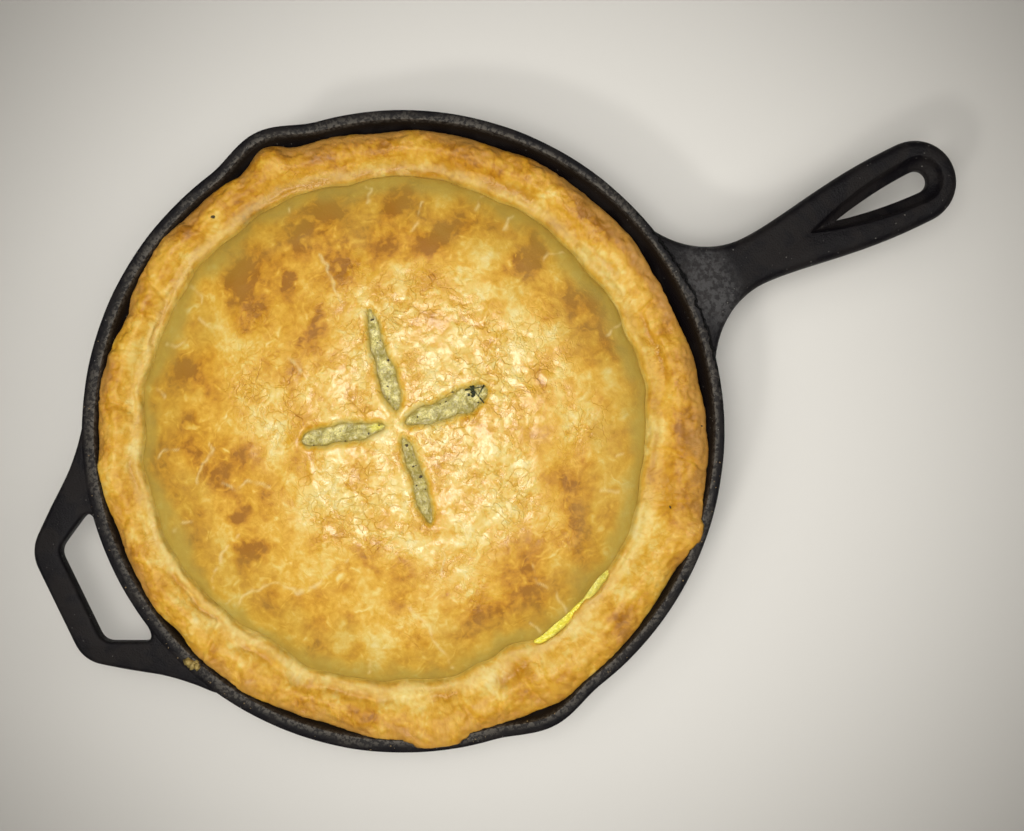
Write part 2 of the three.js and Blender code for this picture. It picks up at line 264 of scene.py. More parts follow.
@dataclass(frozen=True)
class Vent:
    """A slit cut in the lid, from its inner to its outer end, with its width near each end."""

    start: Point
    end: Point
    inner: float
    outer: float

    def place(self, x: Array, y: Array) -> tuple[Array, Array, Array]:
        """Where places lie in the slit's own directions.

        Args:
            x: X of each place.
            y: Y of each place.

        Returns:
            The share of the way along the slit, the distance along it and the distance across it.
        """
        run = np.subtract(self.end, self.start)
        length = np.hypot(*run)
        along = ((x - self.start[0]) * run[0] + (y - self.start[1]) * run[1]) / length
        across = ((y - self.start[1]) * run[0] - (x - self.start[0]) * run[1]) / length
        share = np.clip(along / length, 0.0, 1.0)
        return share, along, across - self.drift(share)

    def drift(self, share: Array) -> Array:
        """How far the slit wanders sideways at a share of the way along it."""
        return 0.5 * np.sin(6.2 * share + self.inner) + 0.3 * np.sin(15.0 * share + self.outer)

    def half_width(self, share: Array) -> Array:
        """Half the slit's width at a share of the way along it.

        Args:
            share: Share of the way along the slit, from 0 to 1.

        Returns:
            One half width for each share.
        """
        round_ends = np.sqrt(np.maximum(1.0 - np.abs(2.0 * share - 1.0) ** 3, 0.0))
        uneven = 1.0 + 0.09 * np.sin(11.0 * share + self.outer) + 0.07 * np.sin(27.0 * share + self.inner)
        return (self.inner + (self.outer - self.inner) * share) / 2.0 * round_ends * uneven

    def distance(self, x: Array, y: Array) -> Array:
        """Distance outside the slit's outline, negative inside it.

        Args:
            x: X of each place.
            y: Y of each place.

        Returns:
            One distance for each place.
        """
        share, along, across = self.place(x, y)
        length = np.hypot(*np.subtract(self.end, self.start))
        beyond = np.maximum(np.maximum(-along, along - length), 0.0)
        aside = np.abs(across) - self.half_width(share)
        return np.where(beyond > 0.0, np.hypot(beyond, np.maximum(aside, 0.0)), aside)

    def ways(self) -> tuple[Array, Array, Array, Array]:
        """The slit's two ends, and a step of one millimetre along it and across it.

        Returns:
            The start, the end, the step along and the step across.
        """
        start, end = np.array(self.start), np.array(self.end)
        unit = (end - start) / np.hypot(*(end - start))
        return start, end, unit, np.array([-unit[1], unit[0]])

    def outline(self, count: int) -> Array:
        """Points round the slit, counter-clockwise.

        Args:
            count: Even number of points.

        Returns:
            One point a row.
        """
        start, end, _, aside = self.ways()
        half = count // 2
        there = (1.0 - np.cos(np.arange(half) / half * np.pi)) / 2.0
        share = np.concatenate([there, 1.0 - there])
        side = np.concatenate([-np.ones(half), np.ones(half)])
        across = side * self.half_width(share) + self.drift(share)
        return start + np.outer(share, end - start) + np.outer(across, aside)


@dataclass(frozen=True)
class Split:
    """A short opening in the groove, where the lid has come away from the edge."""

    start: float
    end: float
    width: float = 5.4


@dataclass(frozen=True)
class CrustForm:
    """The crust's dome, groove and rolled edge as functions of the angle round the pie."""

    dome_middle: Point = (-3.2, 3.1)
    dome_radius: float = 120.9
    crown: float = 66.0
    shoulder: float = 6.6
    groove: float = 51.0
    groove_ripples: tuple[Ripple, ...] = (Ripple(5, 0.9, 0.7), Ripple(23, 0.35, 0.0), Ripple(41, 0.25, 0.0))
    edge_middle: Point = (-1.4, -1.9)
    edge_radius: float = 144.3
    crest: float = 58.2
    pastry: float = 4.6
    skirt: float = 33.0
    folds: tuple[Fold, ...] = many(
        Fold,
        (2, 19, -3.4, -4.6), (35, 11, 0.7, 0.8), (60, 9, 0.9, 1.1), (91, 7, 4.2, 0.9), (118, 10, 3.6, 1.2),
        (132, 5, -1.6, -0.9), (145, 5, 1.7, 0.7), (161, 7, 1.5, 1.0), (174, 8, -2.2, -0.8), (196, 7, -2.0, 0.5),
        (226, 13, -3.8, -1.2), (251, 10, 4.6, 2.6), (279, 11, 1.5, 1.4), (300, 7, -1.2, -0.6),
        (315, 8, 5.0, 2.2), (330, 6, 1.2, 0.4),
    )
    bends: tuple[Fold, ...] = many(
        Fold,
        (17, 15, -2.8, 0), (58, 8, 1.3, 0), (78, 12, -2.5, 0), (116, 16, 1.7, 0), (154, 9, -1.7, 0),
        (183, 13, 2.2, 0), (211, 11, -3.4, 0), (254, 10, 1.7, 0), (270, 7, -2.6, 0), (278, 5, 1.8, 0),
        (309, 11, 1.8, 0), (343, 8, 1.4, 0), (360, 9, -1.6, 0),
    )
    ripples: tuple[Ripple, ...] = (Ripple(7, 0.5, 1.1), Ripple(17, 0.45, 2.3), Ripple(29, 0.35, 0.6))
    vents: tuple[Vent, ...] = many(
        Vent,
        ((2.0, 10.2), (11.2, 58.0), 10.0, 4.6), ((3.4, 2.4), (44.6, -0.4), 7.4, 12.0),
        ((-5.8, 6.0), (-43.8, 16.4), 6.8, 9.8), ((-0.3, -3.2), (-6.4, -44.6), 5.2, 6.4),
    )
    splits: tuple[Split, ...] = (Split(276.0, 287.0, 4.2), Split(285.5, 293.0, 1.3), Split(291.5, 299.5, 3.8))

    @staticmethod
    def circle(angle: Array, middle: Point, radius: float) -> Array:
        """Radius, seen from the pan's centre, of a circle whose own centre lies elsewhere.

        Args:
            angle: Angles round the pan.
            middle: The circle's own centre.
            radius: The circle's own radius.

        Returns:
            One radius for each angle.
        """
        turn = np.radians(angle)
        towards = middle[0] * np.cos(turn) + middle[1] * np.sin(turn)
        return towards + np.sqrt(radius**2 - middle[0] ** 2 - middle[1] ** 2 + towards**2)

    @staticmethod
    def waves(ripples: Sequence[Ripple], angle: Array) -> Array:
        """Height of small regular waves."""
        turn = np.radians(angle)
        return sum(wave.height * np.sin(wave.waves * turn + wave.phase) for wave in ripples)

    def folded_out(self, angle: Array) -> Array:
        """How far the folds push the edge out."""
        return sum(fold.out * hill(angle, fold.angle, fold.half_width) for fold in self.folds)

    def folded_up(self, angle: Array) -> Array:
        """How far the folds lift the crest."""
        return sum(fold.up * hill(angle, fold.angle, fold.half_width) for fold in self.folds)

    def groove_radius(self, angle: Array) -> Array:
        """Radius of the groove between the dome and the rolled edge.

        Args:
            angle: Angles round the pie.

        Returns:
            One radius for each angle.
        """
        wobble = self.waves(self.groove_ripples, angle)
        bend = sum(bend.out * hill(angle, bend.angle, bend.half_width) for bend in self.bends)
        return self.circle(angle, self.dome_middle, self.dome_radius) + wobble + bend

    def groove_height(self, angle: Array) -> Array:
        """Height of the groove's bottom."""
        return self.groove + 0.7 * np.sin(4 * np.radians(angle) + 1.9) + 0.25 * self.folded_up(angle)

    def outer_radius(self, angle: Array) -> Array:
        """Radius of the rolled edge's outer side."""
        plain = self.circle(angle, self.edge_middle, self.edge_radius)
        return plain + self.folded_out(angle) + self.waves(self.ripples, angle)

    def crest_height(self, angle: Array) -> Array:
        """Height of the rolled edge's crest."""
        return self.crest + self.folded_up(angle) + 0.8 * self.waves(self.ripples, angle + math.degrees(0.2))

    def dome_height(self, angle: Array, share: Array) -> Array:
        """Height of the dome at a share of the way from its middle to the groove.

        Args:
            angle: Angle of each place.
            share: Share of the way out, from 0 to 1.

        Returns:
            One height for each place.
        """
        low = self.groove_height(angle)
        crowned = (self.crown - self.shoulder - low) * (1.0 - share**2)
        return low + crowned + self.shoulder * np.sqrt(np.maximum(1.0 - share**8, 0.0))


# ----- shader nodes


class NodeKit:
    """Adds shader nodes to one tree and wires them."""

    def __init__(self, tree: Tree) -> None:
        """Starts on a tree whose own nodes are dropped."""
        self.tree = tree
        tree.nodes.clear()

    def add(self, kind: str, inputs: dict[str | int, Input] | None = None, **settings: object) -> Node:
        """Adds a node.

        Args:
            kind: The node's type.
            inputs: A socket to link, or a value to set, for each input by name or number.
            **settings: Its own properties.

        Returns:
            The new node.
        """
        node = self.tree.nodes.new(kind)
        for name, setting in settings.items():
            setattr(node, name, setting)
        for key, value in (inputs or {}).items():
            if isinstance(value, Socket):
                self.tree.links.new(value, node.inputs[key])
            else:
                node.inputs[key].default_value = value
        return node

    def math(self, operation: str, *values: Input, clamp: bool = False) -> Socket:
        """One sum of up to three values."""
        inputs = dict(enumerate(values))
        return self.add("ShaderNodeMath", inputs, operation=operation, use_clamp=clamp).outputs[0]

    def times(self, first: Input, second: Input) -> Socket:
        """The product of two values."""
        return self.math("MULTIPLY", first, second)

    def plus(self, first: Input, second: Input) -> Socket:
        """The sum of two values."""
        return self.math("ADD", first, second)

    def vector(self, operation: str, *values: Input, output: str = "Vector") -> Socket:
        """One sum of places, or with the output Value their length or distance."""
        return self.add("ShaderNodeVectorMath", dict(enumerate(values)), operation=operation).outputs[output]

    def mix(self, share: Input, first: Input, second: Input) -> Socket:
        """One colour blended with another.

        Args:
            share: How much of the second colour shows.
            first: The first colour.
            second: The second colour.

        Returns:
            The blended colour's socket.
        """
        first, second = (value if isinstance(value, Socket) else (*value, 1.0) for value in (first, second))
        inputs = {0: share, 6: first, 7: second}
        return self.add("ShaderNodeMix", inputs, data_type="RGBA", clamp_factor=True).outputs[2]

    def span(self, value: Input, low: float, high: float, to_low: float = 0.0, to_high: float = 1.0) -> Socket:
        """A value carried smoothly from one range to another, and held at its ends."""
        inputs = {0: value, 1: low, 2: high, 3: to_low, 4: to_high}
        return self.add("ShaderNodeMapRange", inputs, interpolation_type="SMOOTHSTEP").outputs[0]

    def noise(self, at: Socket, scale: float, detail: float = 3.0, warp: float = 0.0, ridged: bool = False) -> Socket:
        """Noise over a place.

        Args:
            at: The place.
            scale: How fine the noise is.
            detail: Its octaves.
            warp: How far it is distorted.
            ridged: Whether it has sharp ridges.

        Returns:
            The noise's socket.
        """
        inputs = {"Vector": at, "Scale": scale, "Detail": detail, "Roughness": 0.55, "Distortion": warp}
        kind = "RIDGED_MULTIFRACTAL" if ridged else "FBM"
        return self.add("ShaderNodeTexNoise", inputs, noise_type=kind, normalize=True).outputs[0]

    def warped(self, at: Socket, scale: float, reach: float) -> Socket:
        """A place pushed about by noise.

        Args:
            at: The place.
            scale: Lumps of the push for each metre.
            reach: How far it is pushed at most, in metres.

        Returns:
            The pushed place.
        """
        inputs = {"Vector": at, "Scale": scale, "Detail": 2.0}
        cloud = self.add("ShaderNodeTexNoise", inputs, normalize=True).outputs["Color"]
        push = self.vector("SUBTRACT", cloud, (0.5, 0.5, 0.5))
        return self.vector("MULTIPLY_ADD", push, (2.0 * reach,) * 3, at)

    def attribute(self, name: str) -> Socket:
        """A value painted on the piece's own vertices."""
        return self.add("ShaderNodeAttribute", attribute_name=name).outputs["Fac"]

    def place(self) -> Socket:
        """The place on the object, in metres."""
        return self.add("ShaderNodeTexCoord").outputs["Object"]

    def ramp(self, value: Socket, stops: Sequence[tuple[float, Colour]]) -> Socket:
        """A colour looked up along a run of stops.

        Args:
            value: Where to look.
            stops: The place and colour of each stop.

        Returns:
            The colour.
        """
        node = self.add("ShaderNodeValToRGB", {0: value})
        elements = node.color_ramp.elements
        while len(elements) < len(stops):
            elements.new(0.5)
        for element, (place, colour) in zip(elements, stops):
            element.position = place
            element.color = (*colour, 1.0)
        return node.outputs[0]

    def bump(self, height: Socket, depth: float, strength: float = 1.0, under: Socket | None = None) -> Socket:
        """A normal that follows a height map.

        Args:
            height: The height, from 0 to 1.
            depth: How many metres a height of 1 is.
            strength: How much of it shows.
            under: A normal that this one is laid over.

        Returns:
            The new normal.
        """
        inputs: dict[str | int, Input] = {"Height": height, "Distance": depth, "Strength": strength}
        if under is not None:
            inputs["Normal"] = under
        return self.add("ShaderNodeBump", inputs).outputs[0]

    def group(self, tree: Tree, **inputs: Input) -> Socket:
        """Places a group with its inputs fed, for its one output."""
        return self.add("ShaderNodeGroup", inputs, node_tree=tree).outputs[0]

    def surface(self, **inputs: Input) -> None:
        """Ends the tree in a Principled BSDF.

        Args:
            inputs: The shader's inputs, with _ for each space in their names.
        """
        named = {key.replace("_", " "): value for key, value in inputs.items()}
        shader = self.add("ShaderNodeBsdfPrincipled", named)
        self.add("ShaderNodeOutputMaterial", {"Surface": shader.outputs[0]})


def new_finish(name: str) -> tuple[Material, NodeKit]:
    """An empty material, and a kit for its nodes.

    Args:
        name: The material's name.

    Returns:
        The material and its kit.
    """
    made = bpy.data.materials.new(name)
    made.use_nodes = True
    return made, NodeKit(made.node_tree)


class SocketKind(Enum):
    """What a group's socket carries."""

    VALUE = "NodeSocketFloat"
    COLOUR = "NodeSocketColor"
    PLACE = "NodeSocketVector"


@dataclass
class SharedEffect:
    """An effect that more than one finish uses, kept as one shader node group."""

    name: str
    inputs: dict[str, SocketKind]
    outputs: dict[str, SocketKind]
    tree: Tree | None = None

    def start(self) -> tuple[NodeKit, Node, Node]:
        """Makes the empty group.

        Returns:
            A kit for its nodes, its input node and its output node.
        """
        self.tree = bpy.data.node_groups.new(self.name, "ShaderNodeTree")
        for way, sockets in (("INPUT", self.inputs), ("OUTPUT", self.outputs)):
            for name, kind in sockets.items():
                self.tree.interface.new_socket(name=name, in_out=way, socket_type=kind.value)
        kit = NodeKit(self.tree)
        return kit, kit.add("NodeGroupInput"), kit.add("NodeGroupOutput")

    def finish(self, kit: NodeKit, end: Node, results: dict[str, Socket]) -> Tree:
        """Wires the group's results to its output node and returns the group.

        Args:
            kit: The group's own kit.
            end: Its output node.
            results: The socket of each result.

        Returns:
            The group.
        """
        for name, socket in results.items():
            kit.tree.links.new(socket, end.inputs[name])
        return self.tree


@dataclass(frozen=True)
class BakedColours:
    """Colours of pastry from unbaked to well browned, and of what lies on it."""

    stops: tuple[tuple[float, Colour], ...] = (
        (0.0, (0.85, 0.69, 0.28)), (0.22, (0.81, 0.58, 0.145)), (0.44, (0.75, 0.43, 0.045)),
        (0.64, (0.65, 0.33, 0.020)), (0.82, (0.54, 0.24, 0.010)), (1.0, (0.36, 0.145, 0.005)),
    )
    hairline: Colour = (0.86, 0.71, 0.32)
    # An olive colour: partly the soaked, less baked dough's own tint, partly painted shade on the dome's steep
    # shoulder, in the groove and round the vents.
    olive: Colour = (0.44, 0.325, 0.062)
    caramel: Colour = (0.50, 0.225, 0.008)
    tan: Colour = (0.53, 0.275, 0.060)

    def group(self) -> Tree:
        """Builds the group that colours the lid, the rolled edge and the crumbs.

        Returns:
            The group, with inputs Place, Browning, Mottle, Hairline, Olive, Caramel and Tan; Olive lays an olive tint
            that is partly painted shade.
        """
        values = ("Browning", "Mottle", "Hairline", "Olive", "Caramel", "Tan")
        inputs = {"Place": SocketKind.PLACE, **dict.fromkeys(values, SocketKind.VALUE)}
        effect = SharedEffect("baked colour", inputs, {"Colour": SocketKind.COLOUR})
        kit, start, end = effect.start()
        at = start.outputs["Place"]
        mottle = kit.math("MULTIPLY_ADD", kit.noise(kit.warped(at, 60.0, 0.006), 62.0, 5.0), 1.3, -0.65)
        grain = kit.math("MULTIPLY_ADD", kit.noise(at, 330.0, 4.0, 0.3), 0.6, -0.30)
        ridges = kit.noise(kit.warped(at, 75.0, 0.010), 210.0, 4.0, 0.6, ridged=True)
        grain = kit.plus(grain, kit.math("MULTIPLY_ADD", ridges, -0.60, 0.215))
        uneven = kit.times(kit.plus(mottle, grain), start.outputs["Mottle"])
        browning = kit.math("ADD", start.outputs["Browning"], uneven, clamp=True)
        colour = kit.ramp(browning, self.stops)
        laid = {"Tan": self.tan, "Olive": self.olive, "Hairline": self.hairline, "Caramel": self.caramel}
        for name, shade in laid.items():
            colour = kit.mix(start.outputs[name], colour, shade)
        return effect.finish(kit, end, {"Colour": colour})


def crumb_grain_group() -> Tree:
    """Builds the fine relief of baked dough.

    Returns:
        The group, with input Place and output Height.
    """
    effect = SharedEffect("dough grain", {"Place": SocketKind.PLACE}, {"Height": SocketKind.VALUE})
    kit, start, end = effect.start()
    at = start.outputs["Place"]
    pores = kit.times(kit.noise(at, 900.0, 4.0, 0.4), 0.6)
    wrinkle = kit.times(kit.noise(at, 380.0, 4.0, 0.8, ridged=True), 0.4)
    return effect.finish(kit, end, {"Height": kit.plus(pores, wrinkle)})


def fleck_group() -> Tree:
    """Builds scattered small flecks, such as pepper, herbs or scale on iron.

    Returns:
        The group, with inputs Place, Scale, Size and Share, and output Flecks.
    """
    value = SocketKind.VALUE
    inputs = {"Place": SocketKind.PLACE, "Scale": value, "Size": value, "Share": value}
    effect = SharedEffect("flecks", inputs, {"Flecks": value})
    kit, start, end = effect.start()
    fed = {"Vector": start.outputs["Place"], "Scale": start.outputs["Scale"], "Randomness": 1.0}
    cell = kit.add("ShaderNodeTexVoronoi", fed, feature="F1")
    inside = kit.math("LESS_THAN", cell.outputs["Distance"], start.outputs["Size"])
    colour = kit.add("ShaderNodeSeparateColor", {0: cell.outputs["Color"]})
    chosen = kit.math("LESS_THAN", colour.outputs[0], start.outputs["Share"])
    return effect.finish(kit, end, {"Flecks": kit.times(inside, chosen)})


# ----- finishes


@dataclass
class Effects:
    """The shared groups, built once for every finish that places them."""

    baked: Tree
    grain: Tree
    flecks: Tree

    @classmethod
    def build(cls) -> "Effects":
        """Builds all the groups."""
        return cls(BakedColours().group(), crumb_grain_group(), fleck_group())


@dataclass(frozen=True)
class GlazedPastry:
    """Baked pastry under a thin, shiny film of egg wash that has crinkled as it dried."""

    name: str = "glazed_pastry"
    dull: float = 0.56
    shiny: float = 0.20
    coat: float = 0.35
    specular: float = 0.36
    grain_depth: float = 0.00020
    line_depth: float = 0.00026
    streak_depth: float = 0.00020
    swell_depth: float = 0.00048
    mottle: float = 1.0
    crease_tint: float = 0.16
    line_tint: float = 0.17
    fibres: float = 0.0
    strand_radius: float = 0.132
    strand_lift: float = 0.25

    def lines(self, kit: NodeKit, at: Socket, scale: float, width: float, share: float) -> Socket:
        """Thin broken lines between the puffed cells of the film.

        Args:
            kit: The material's nodes.
            at: The place.
            scale: Cells for each metre.
            width: Width of a line as a share of a cell.
            share: How much of the lines is missing, from 0 to 1.

        Returns:
            1 on a line and 0 between lines.
        """
        inputs = {"Vector": kit.warped(at, scale * 1.3, 1.1 / scale), "Scale": scale, "Randomness": 1.0}
        edge = kit.add("ShaderNodeTexVoronoi", inputs, feature="DISTANCE_TO_EDGE").outputs["Distance"]
        shown = kit.span(kit.noise(at, scale * 0.42, 2.0), share - 0.07, share + 0.07)
        return kit.times(kit.span(edge, 0.0, width, 1.0, 0.0), shown)

    def strands(self, kit: NodeKit, at: Socket) -> Socket:
        """Fine noise drawn out along the lines from the pie's middle, as in torn dough.

        Args:
            kit: The material's nodes.
            at: The place.

        Returns:
            The noise.
        """
        flat = kit.vector("MULTIPLY", at, (1.0, 1.0, 0.0))
        length = kit.vector("LENGTH", flat, output="Value")
        rim = kit.vector("MULTIPLY", kit.vector("NORMALIZE", flat), (self.strand_radius,) * 3)
        lift = kit.add("ShaderNodeCombineXYZ", {2: kit.times(length, self.strand_lift)}).outputs[0]
        return kit.noise(kit.warped(kit.vector("ADD", rim, lift), 90.0, 0.002), 850.0, 3.0)

    def material(self, effects: Effects) -> Material:
        """Builds the finish.

        Args:
            effects: The shared groups.

        Returns:
            A material that reads the attributes brown, hairline, olive, caramel, tan, crease and glaze.
        """
        made, kit = new_finish(self.name)
        at = kit.place()
        crease, glaze = kit.attribute("crease"), kit.attribute("glaze")
        wide, fine = self.lines(kit, at, 95.0, 0.085, 0.46), self.lines(kit, at, 230.0, 0.14, 0.50)
        film_lines = kit.times(kit.math("MAXIMUM", wide, kit.times(fine, 0.6)), glaze)
        darkened = kit.plus(kit.attribute("brown"), kit.times(crease, self.crease_tint))
        darkened = kit.plus(darkened, kit.times(film_lines, self.line_tint))
        painted = {name.capitalize(): kit.attribute(name) for name in ("hairline", "olive", "caramel", "tan")}
        baked = kit.group(effects.baked, Place=at, Browning=darkened, Mottle=self.mottle, **painted)
        normal = kit.bump(kit.group(effects.grain, Place=at), self.grain_depth, 0.8)
        swell = kit.times(kit.noise(kit.warped(at, 120.0, 0.004), 170.0, 4.0), glaze)
        normal = kit.bump(swell, self.swell_depth, 0.9, normal)
        streaks = kit.noise(kit.warped(at, 190.0, 0.003), 330.0, 3.0, ridged=True)
        normal = kit.bump(kit.times(streaks, glaze), self.streak_depth, 0.9, normal)
        normal = kit.bump(kit.times(film_lines, -1.0), self.line_depth, 1.0, normal)
        if self.fibres > 0.0:
            normal = kit.bump(self.strands(kit, at), self.fibres, 0.8, normal)
        kit.surface(
            Base_Color=baked,
            Roughness=kit.span(glaze, 0.0, 1.0, self.dull, self.shiny),
            Normal=normal,
            Specular_IOR_Level=self.specular,
            Coat_Weight=kit.span(glaze, 0.2, 1.0, 0.0, self.coat),
            Coat_Roughness=0.16,
            Subsurface_Weight=0.10,
            Subsurface_Radius=(0.0030, 0.0014, 0.0004),
            Subsurface_Scale=1.0,
        )
        return made


@dataclass(frozen=True)
class CreamyFilling:
    """Moist chicken and vegetable filling in a creamy sauce, with herbs."""

    name: str = "creamy_filling"
    sauce: Colour = (0.40, 0.34, 0.085)
    cream: Colour = (0.82, 0.73, 0.27)
    shade: Colour = (0.23, 0.17, 0.04)
    # Colour of the painted shade where the filling meets the crust's edges.
    rim: Colour = (0.36, 0.28, 0.06)
    egg_yellow: Colour = (0.86, 0.79, 0.085)
    herb: Colour = (0.03, 0.028, 0.012)

    def material(self, effects: Effects) -> Material:
        """Builds the finish.

        Args:
            effects: The shared groups.

        Returns:
            A material that reads the attributes yellow and hollow, the painted shade at the filling's edges.
        """
        made, kit = new_finish(self.name)
        at = kit.place()
        lumpy = kit.noise(kit.warped(at, 140.0, 0.003), 170.0, 5.0)
        colour = kit.mix(kit.span(lumpy, 0.38, 0.62), self.sauce, self.cream)
        stipple = kit.span(kit.noise(at, 1500.0, 3.0), 0.44, 0.60)
        colour = kit.mix(kit.times(stipple, 0.5), colour, self.shade)
        colour = kit.mix(kit.attribute("yellow"), colour, self.egg_yellow)
        # Painted shade along the edges of the vents and down the sides of the splits.
        colour = kit.mix(kit.attribute("hollow"), colour, self.rim)
        flecks = kit.group(effects.flecks, Place=kit.warped(at, 700.0, 0.0008), Scale=420.0, Size=0.15, Share=0.035)
        colour = kit.mix(kit.times(flecks, 0.7), colour, self.herb)
        normal = kit.bump(lumpy, 0.0012, 0.9)
        normal = kit.bump(kit.noise(at, 900.0, 4.0), 0.00030, 0.9, normal)
        kit.surface(
            Base_Color=colour,
            Roughness=0.32,
            Normal=normal,
            Specular_IOR_Level=0.5,
            Coat_Weight=0.2,
            Coat_Roughness=0.14,
            Subsurface_Weight=0.1,
            Subsurface_Radius=(0.002, 0.0015, 0.0008),
            Subsurface_Scale=1.0,
        )
        return made


@dataclass(frozen=True)
class SeasonedIron:
    """Near-black seasoned cast iron, pebbly from its sand mould and rubbed along the rim, with a painted highlight
    along the rim's inner edge.
    """

    name: str = "seasoned_iron"
    black: Colour = (0.0040, 0.0032, 0.0046)
    brown: Colour = (0.0110, 0.0090, 0.0092)
    # Colour of the rubbed patches on the rim, and of the painted highlight along its inner edge.
    worn: Colour = (0.120, 0.108, 0.092)
    dusty: Colour = (0.070, 0.068, 0.070)
    baked_on: Colour = (0.012, 0.008, 0.005)
    scale: Colour = (0.17, 0.16, 0.15)
    seam_black: Colour = (0.002, 0.002, 0.002)
    seam_radius: float = 0.1528

    def seam(self, kit: NodeKit, at: Socket) -> tuple[Socket, Socket]:
        """The jagged line left by the mould at the long handle's root, and the dusty iron beyond it.

        Args:
            kit: The material's nodes.
            at: The place.

        Returns:
            1 on the line, and 1 in the middle of the dusty iron.
        """
        flat = kit.vector("MULTIPLY", at, (1.0, 1.0, 0.0))
        length = kit.vector("LENGTH", flat, output="Value")
        jagged = kit.math("MULTIPLY_ADD", kit.noise(at, 260.0, 4.0), 0.006, -0.003 - self.seam_radius)
        away = kit.math("ABSOLUTE", kit.plus(length, jagged))
        beside = kit.add("ShaderNodeSeparateXYZ", {0: at}).outputs[0]
        line = kit.times(kit.span(away, 0.0002, 0.0009, 1.0, 0.0), kit.span(beside, 0.138, 0.146))
        narrow = kit.vector("MULTIPLY", at, (1.8, 0.9, 0.0))
        dust = kit.vector("DISTANCE", narrow, (0.293, -0.002, 0.0), output="Value")
        return line, kit.span(dust, 0.008, 0.030, 1.0, 0.0)

    def material(self, effects: Effects) -> Material:
        """Builds the finish.

        Args:
            effects: The shared groups.

        Returns:
            A material that reads the attributes worn and inner.
        """
        made, kit = new_finish(self.name)
        at = kit.place()
        patches = kit.noise(at, 70.0, 5.0, 0.5)
        pebbles = kit.noise(at, 1150.0, 4.0, 0.2)
        colour = kit.mix(kit.span(patches, 0.45, 0.60), self.black, self.brown)
        colour = kit.mix(kit.attribute("inner"), colour, self.baked_on)
        rubbed = kit.span(kit.noise(at, 620.0, 5.0, 0.4), 0.42, 0.58, 0.15, 1.0)
        colour = kit.mix(kit.times(kit.attribute("worn"), rubbed), colour, self.worn)
        fleck = kit.group(effects.flecks, Place=at, Scale=520.0, Size=0.15, Share=0.24)
        dusty = kit.span(kit.noise(at, 55.0, 3.0), 0.45, 0.62)
        colour = kit.mix(kit.times(fleck, dusty), colour, self.scale)
        seam, dust = self.seam(kit, at)
        blotches = kit.times(dust, kit.span(kit.noise(at, 420.0, 5.0), 0.40, 0.60, 0.22, 0.85))
        colour = kit.mix(blotches, colour, self.dusty)
        colour = kit.mix(seam, colour, self.seam_black)
        relief = kit.math("SUBTRACT", pebbles, kit.times(seam, 2.5))
        normal = kit.bump(relief, 0.00045, 0.9)
        normal = kit.bump(kit.noise(at, 210.0, 3.0), 0.0005, 0.6, normal)
        kit.surface(
            Base_Color=colour,
            Metallic=0.0,
            Roughness=kit.span(patches, 0.3, 0.7, 0.44, 0.62),
            Normal=normal,
            Specular_IOR_Level=0.19,
        )
        return made


@dataclass(frozen=True)
class PlainFinish:
    """A finish that mottles one colour with another, for crumbs, specks and the herb."""

    name: str
    colour: Colour
    other: Colour
    scale: float = 400.0
    roughness: float = 0.6
    relief: float = 0.0002

    def material(self) -> Material:
        """Builds the finish.

        Returns:
            The material.
        """
        made, kit = new_finish(self.name)
        cloud = kit.noise(kit.place(), self.scale, 3.0)
        kit.surface(
            Base_Color=kit.mix(kit.span(cloud, 0.35, 0.65), self.colour, self.other),
            Roughness=self.roughness,
            Normal=kit.bump(cloud, self.relief, 0.6),
        )
        return made


@dataclass(frozen=True)
class PaleFloor:
    """A pale, matt tabletop, painted darker away from the point under the camera: a painted pool of light fading into
    painted shade.
    """

    middle: Point
    near: float = 0.14
    far: float = 0.46
    colour: Colour = (0.81, 0.795, 0.765)
    shade: Colour = (0.25, 0.24, 0.225)

    def material(self) -> Material:
        """Builds the finish.

        Returns:
            The material.
        """
        made, kit = new_finish("pale_floor")
        away = kit.vector("DISTANCE", kit.place(), (*self.middle, 0.0), output="Value")
        # Painted pool of light under the camera, fading into painted shade towards the corners.
        kit.surface(Base_Color=kit.mix(kit.span(away, self.near, self.far), self.colour, self.shade), Roughness=0.6)
        return made


# ----- shaping tools


class Carving(Enum):
    """How a second solid changes the first."""

    ADD = "UNION"
    CUT = "DIFFERENCE"


def places(verts: Sequence[Corner]) -> Array:
    """Where corners are, one a row."""
    return np.array([vert.co[:] for vert in verts])


def move_to(verts: Sequence[Corner], where: Array) -> None:
    """Puts each corner at its new place."""
    for vert, place in zip(verts, where):
        vert.co = place


def face_outwards(shape: Shape) -> None:
    """Turns all the faces of a closed shape outwards."""
    shape.normal_update()
    bmesh.ops.recalc_face_normals(shape, faces=shape.faces)


def ring_of(shape: Shape, outline: Array, height: float) -> list[Edge]:
    """Adds a closed ring of edges.

    Args:
        shape: The shape that gets the ring.
        outline: The ring's points, one a row.
        height: The ring's height.

    Returns:
        The ring's edges.
    """
    made = bmesh.ops.create_circle(shape, segments=len(outline), radius=1.0, cap_ends=False)["verts"]
    for vert, (x, y) in zip(made, outline):
        vert.co = (x, y, height)
    return list(dict.fromkeys(edge for vert in made for edge in vert.link_edges))


def loft(rings: Sequence[tuple[Array, float]]) -> Shape:
    """Builds a closed solid through a stack of rings.

    Args:
        rings: Outline and height of each ring, all with as many points.

    Returns:
        The solid.
    """
    shape = bmesh.new()
    loops = [ring_of(shape, outline, height) for outline, height in rings]
    for low, high in zip(loops, loops[1:]):
        bmesh.ops.bridge_loops(shape, edges=low + high)
    for loop in (loops[0], loops[-1]):
        bmesh.ops.edgeloop_fill(shape, edges=loop)
    face_outwards(shape)
    return shape


def full_turn(shape: Shape, what: list[Corner | Edge], steps: int) -> None:
    """Spins corners and edges right round Z."""
    turn = {"cent": (0, 0, 0), "axis": (0, 0, 1), "angle": 2 * math.pi}
    bmesh.ops.spin(shape, geom=what, steps=steps, use_merge=True, **turn)


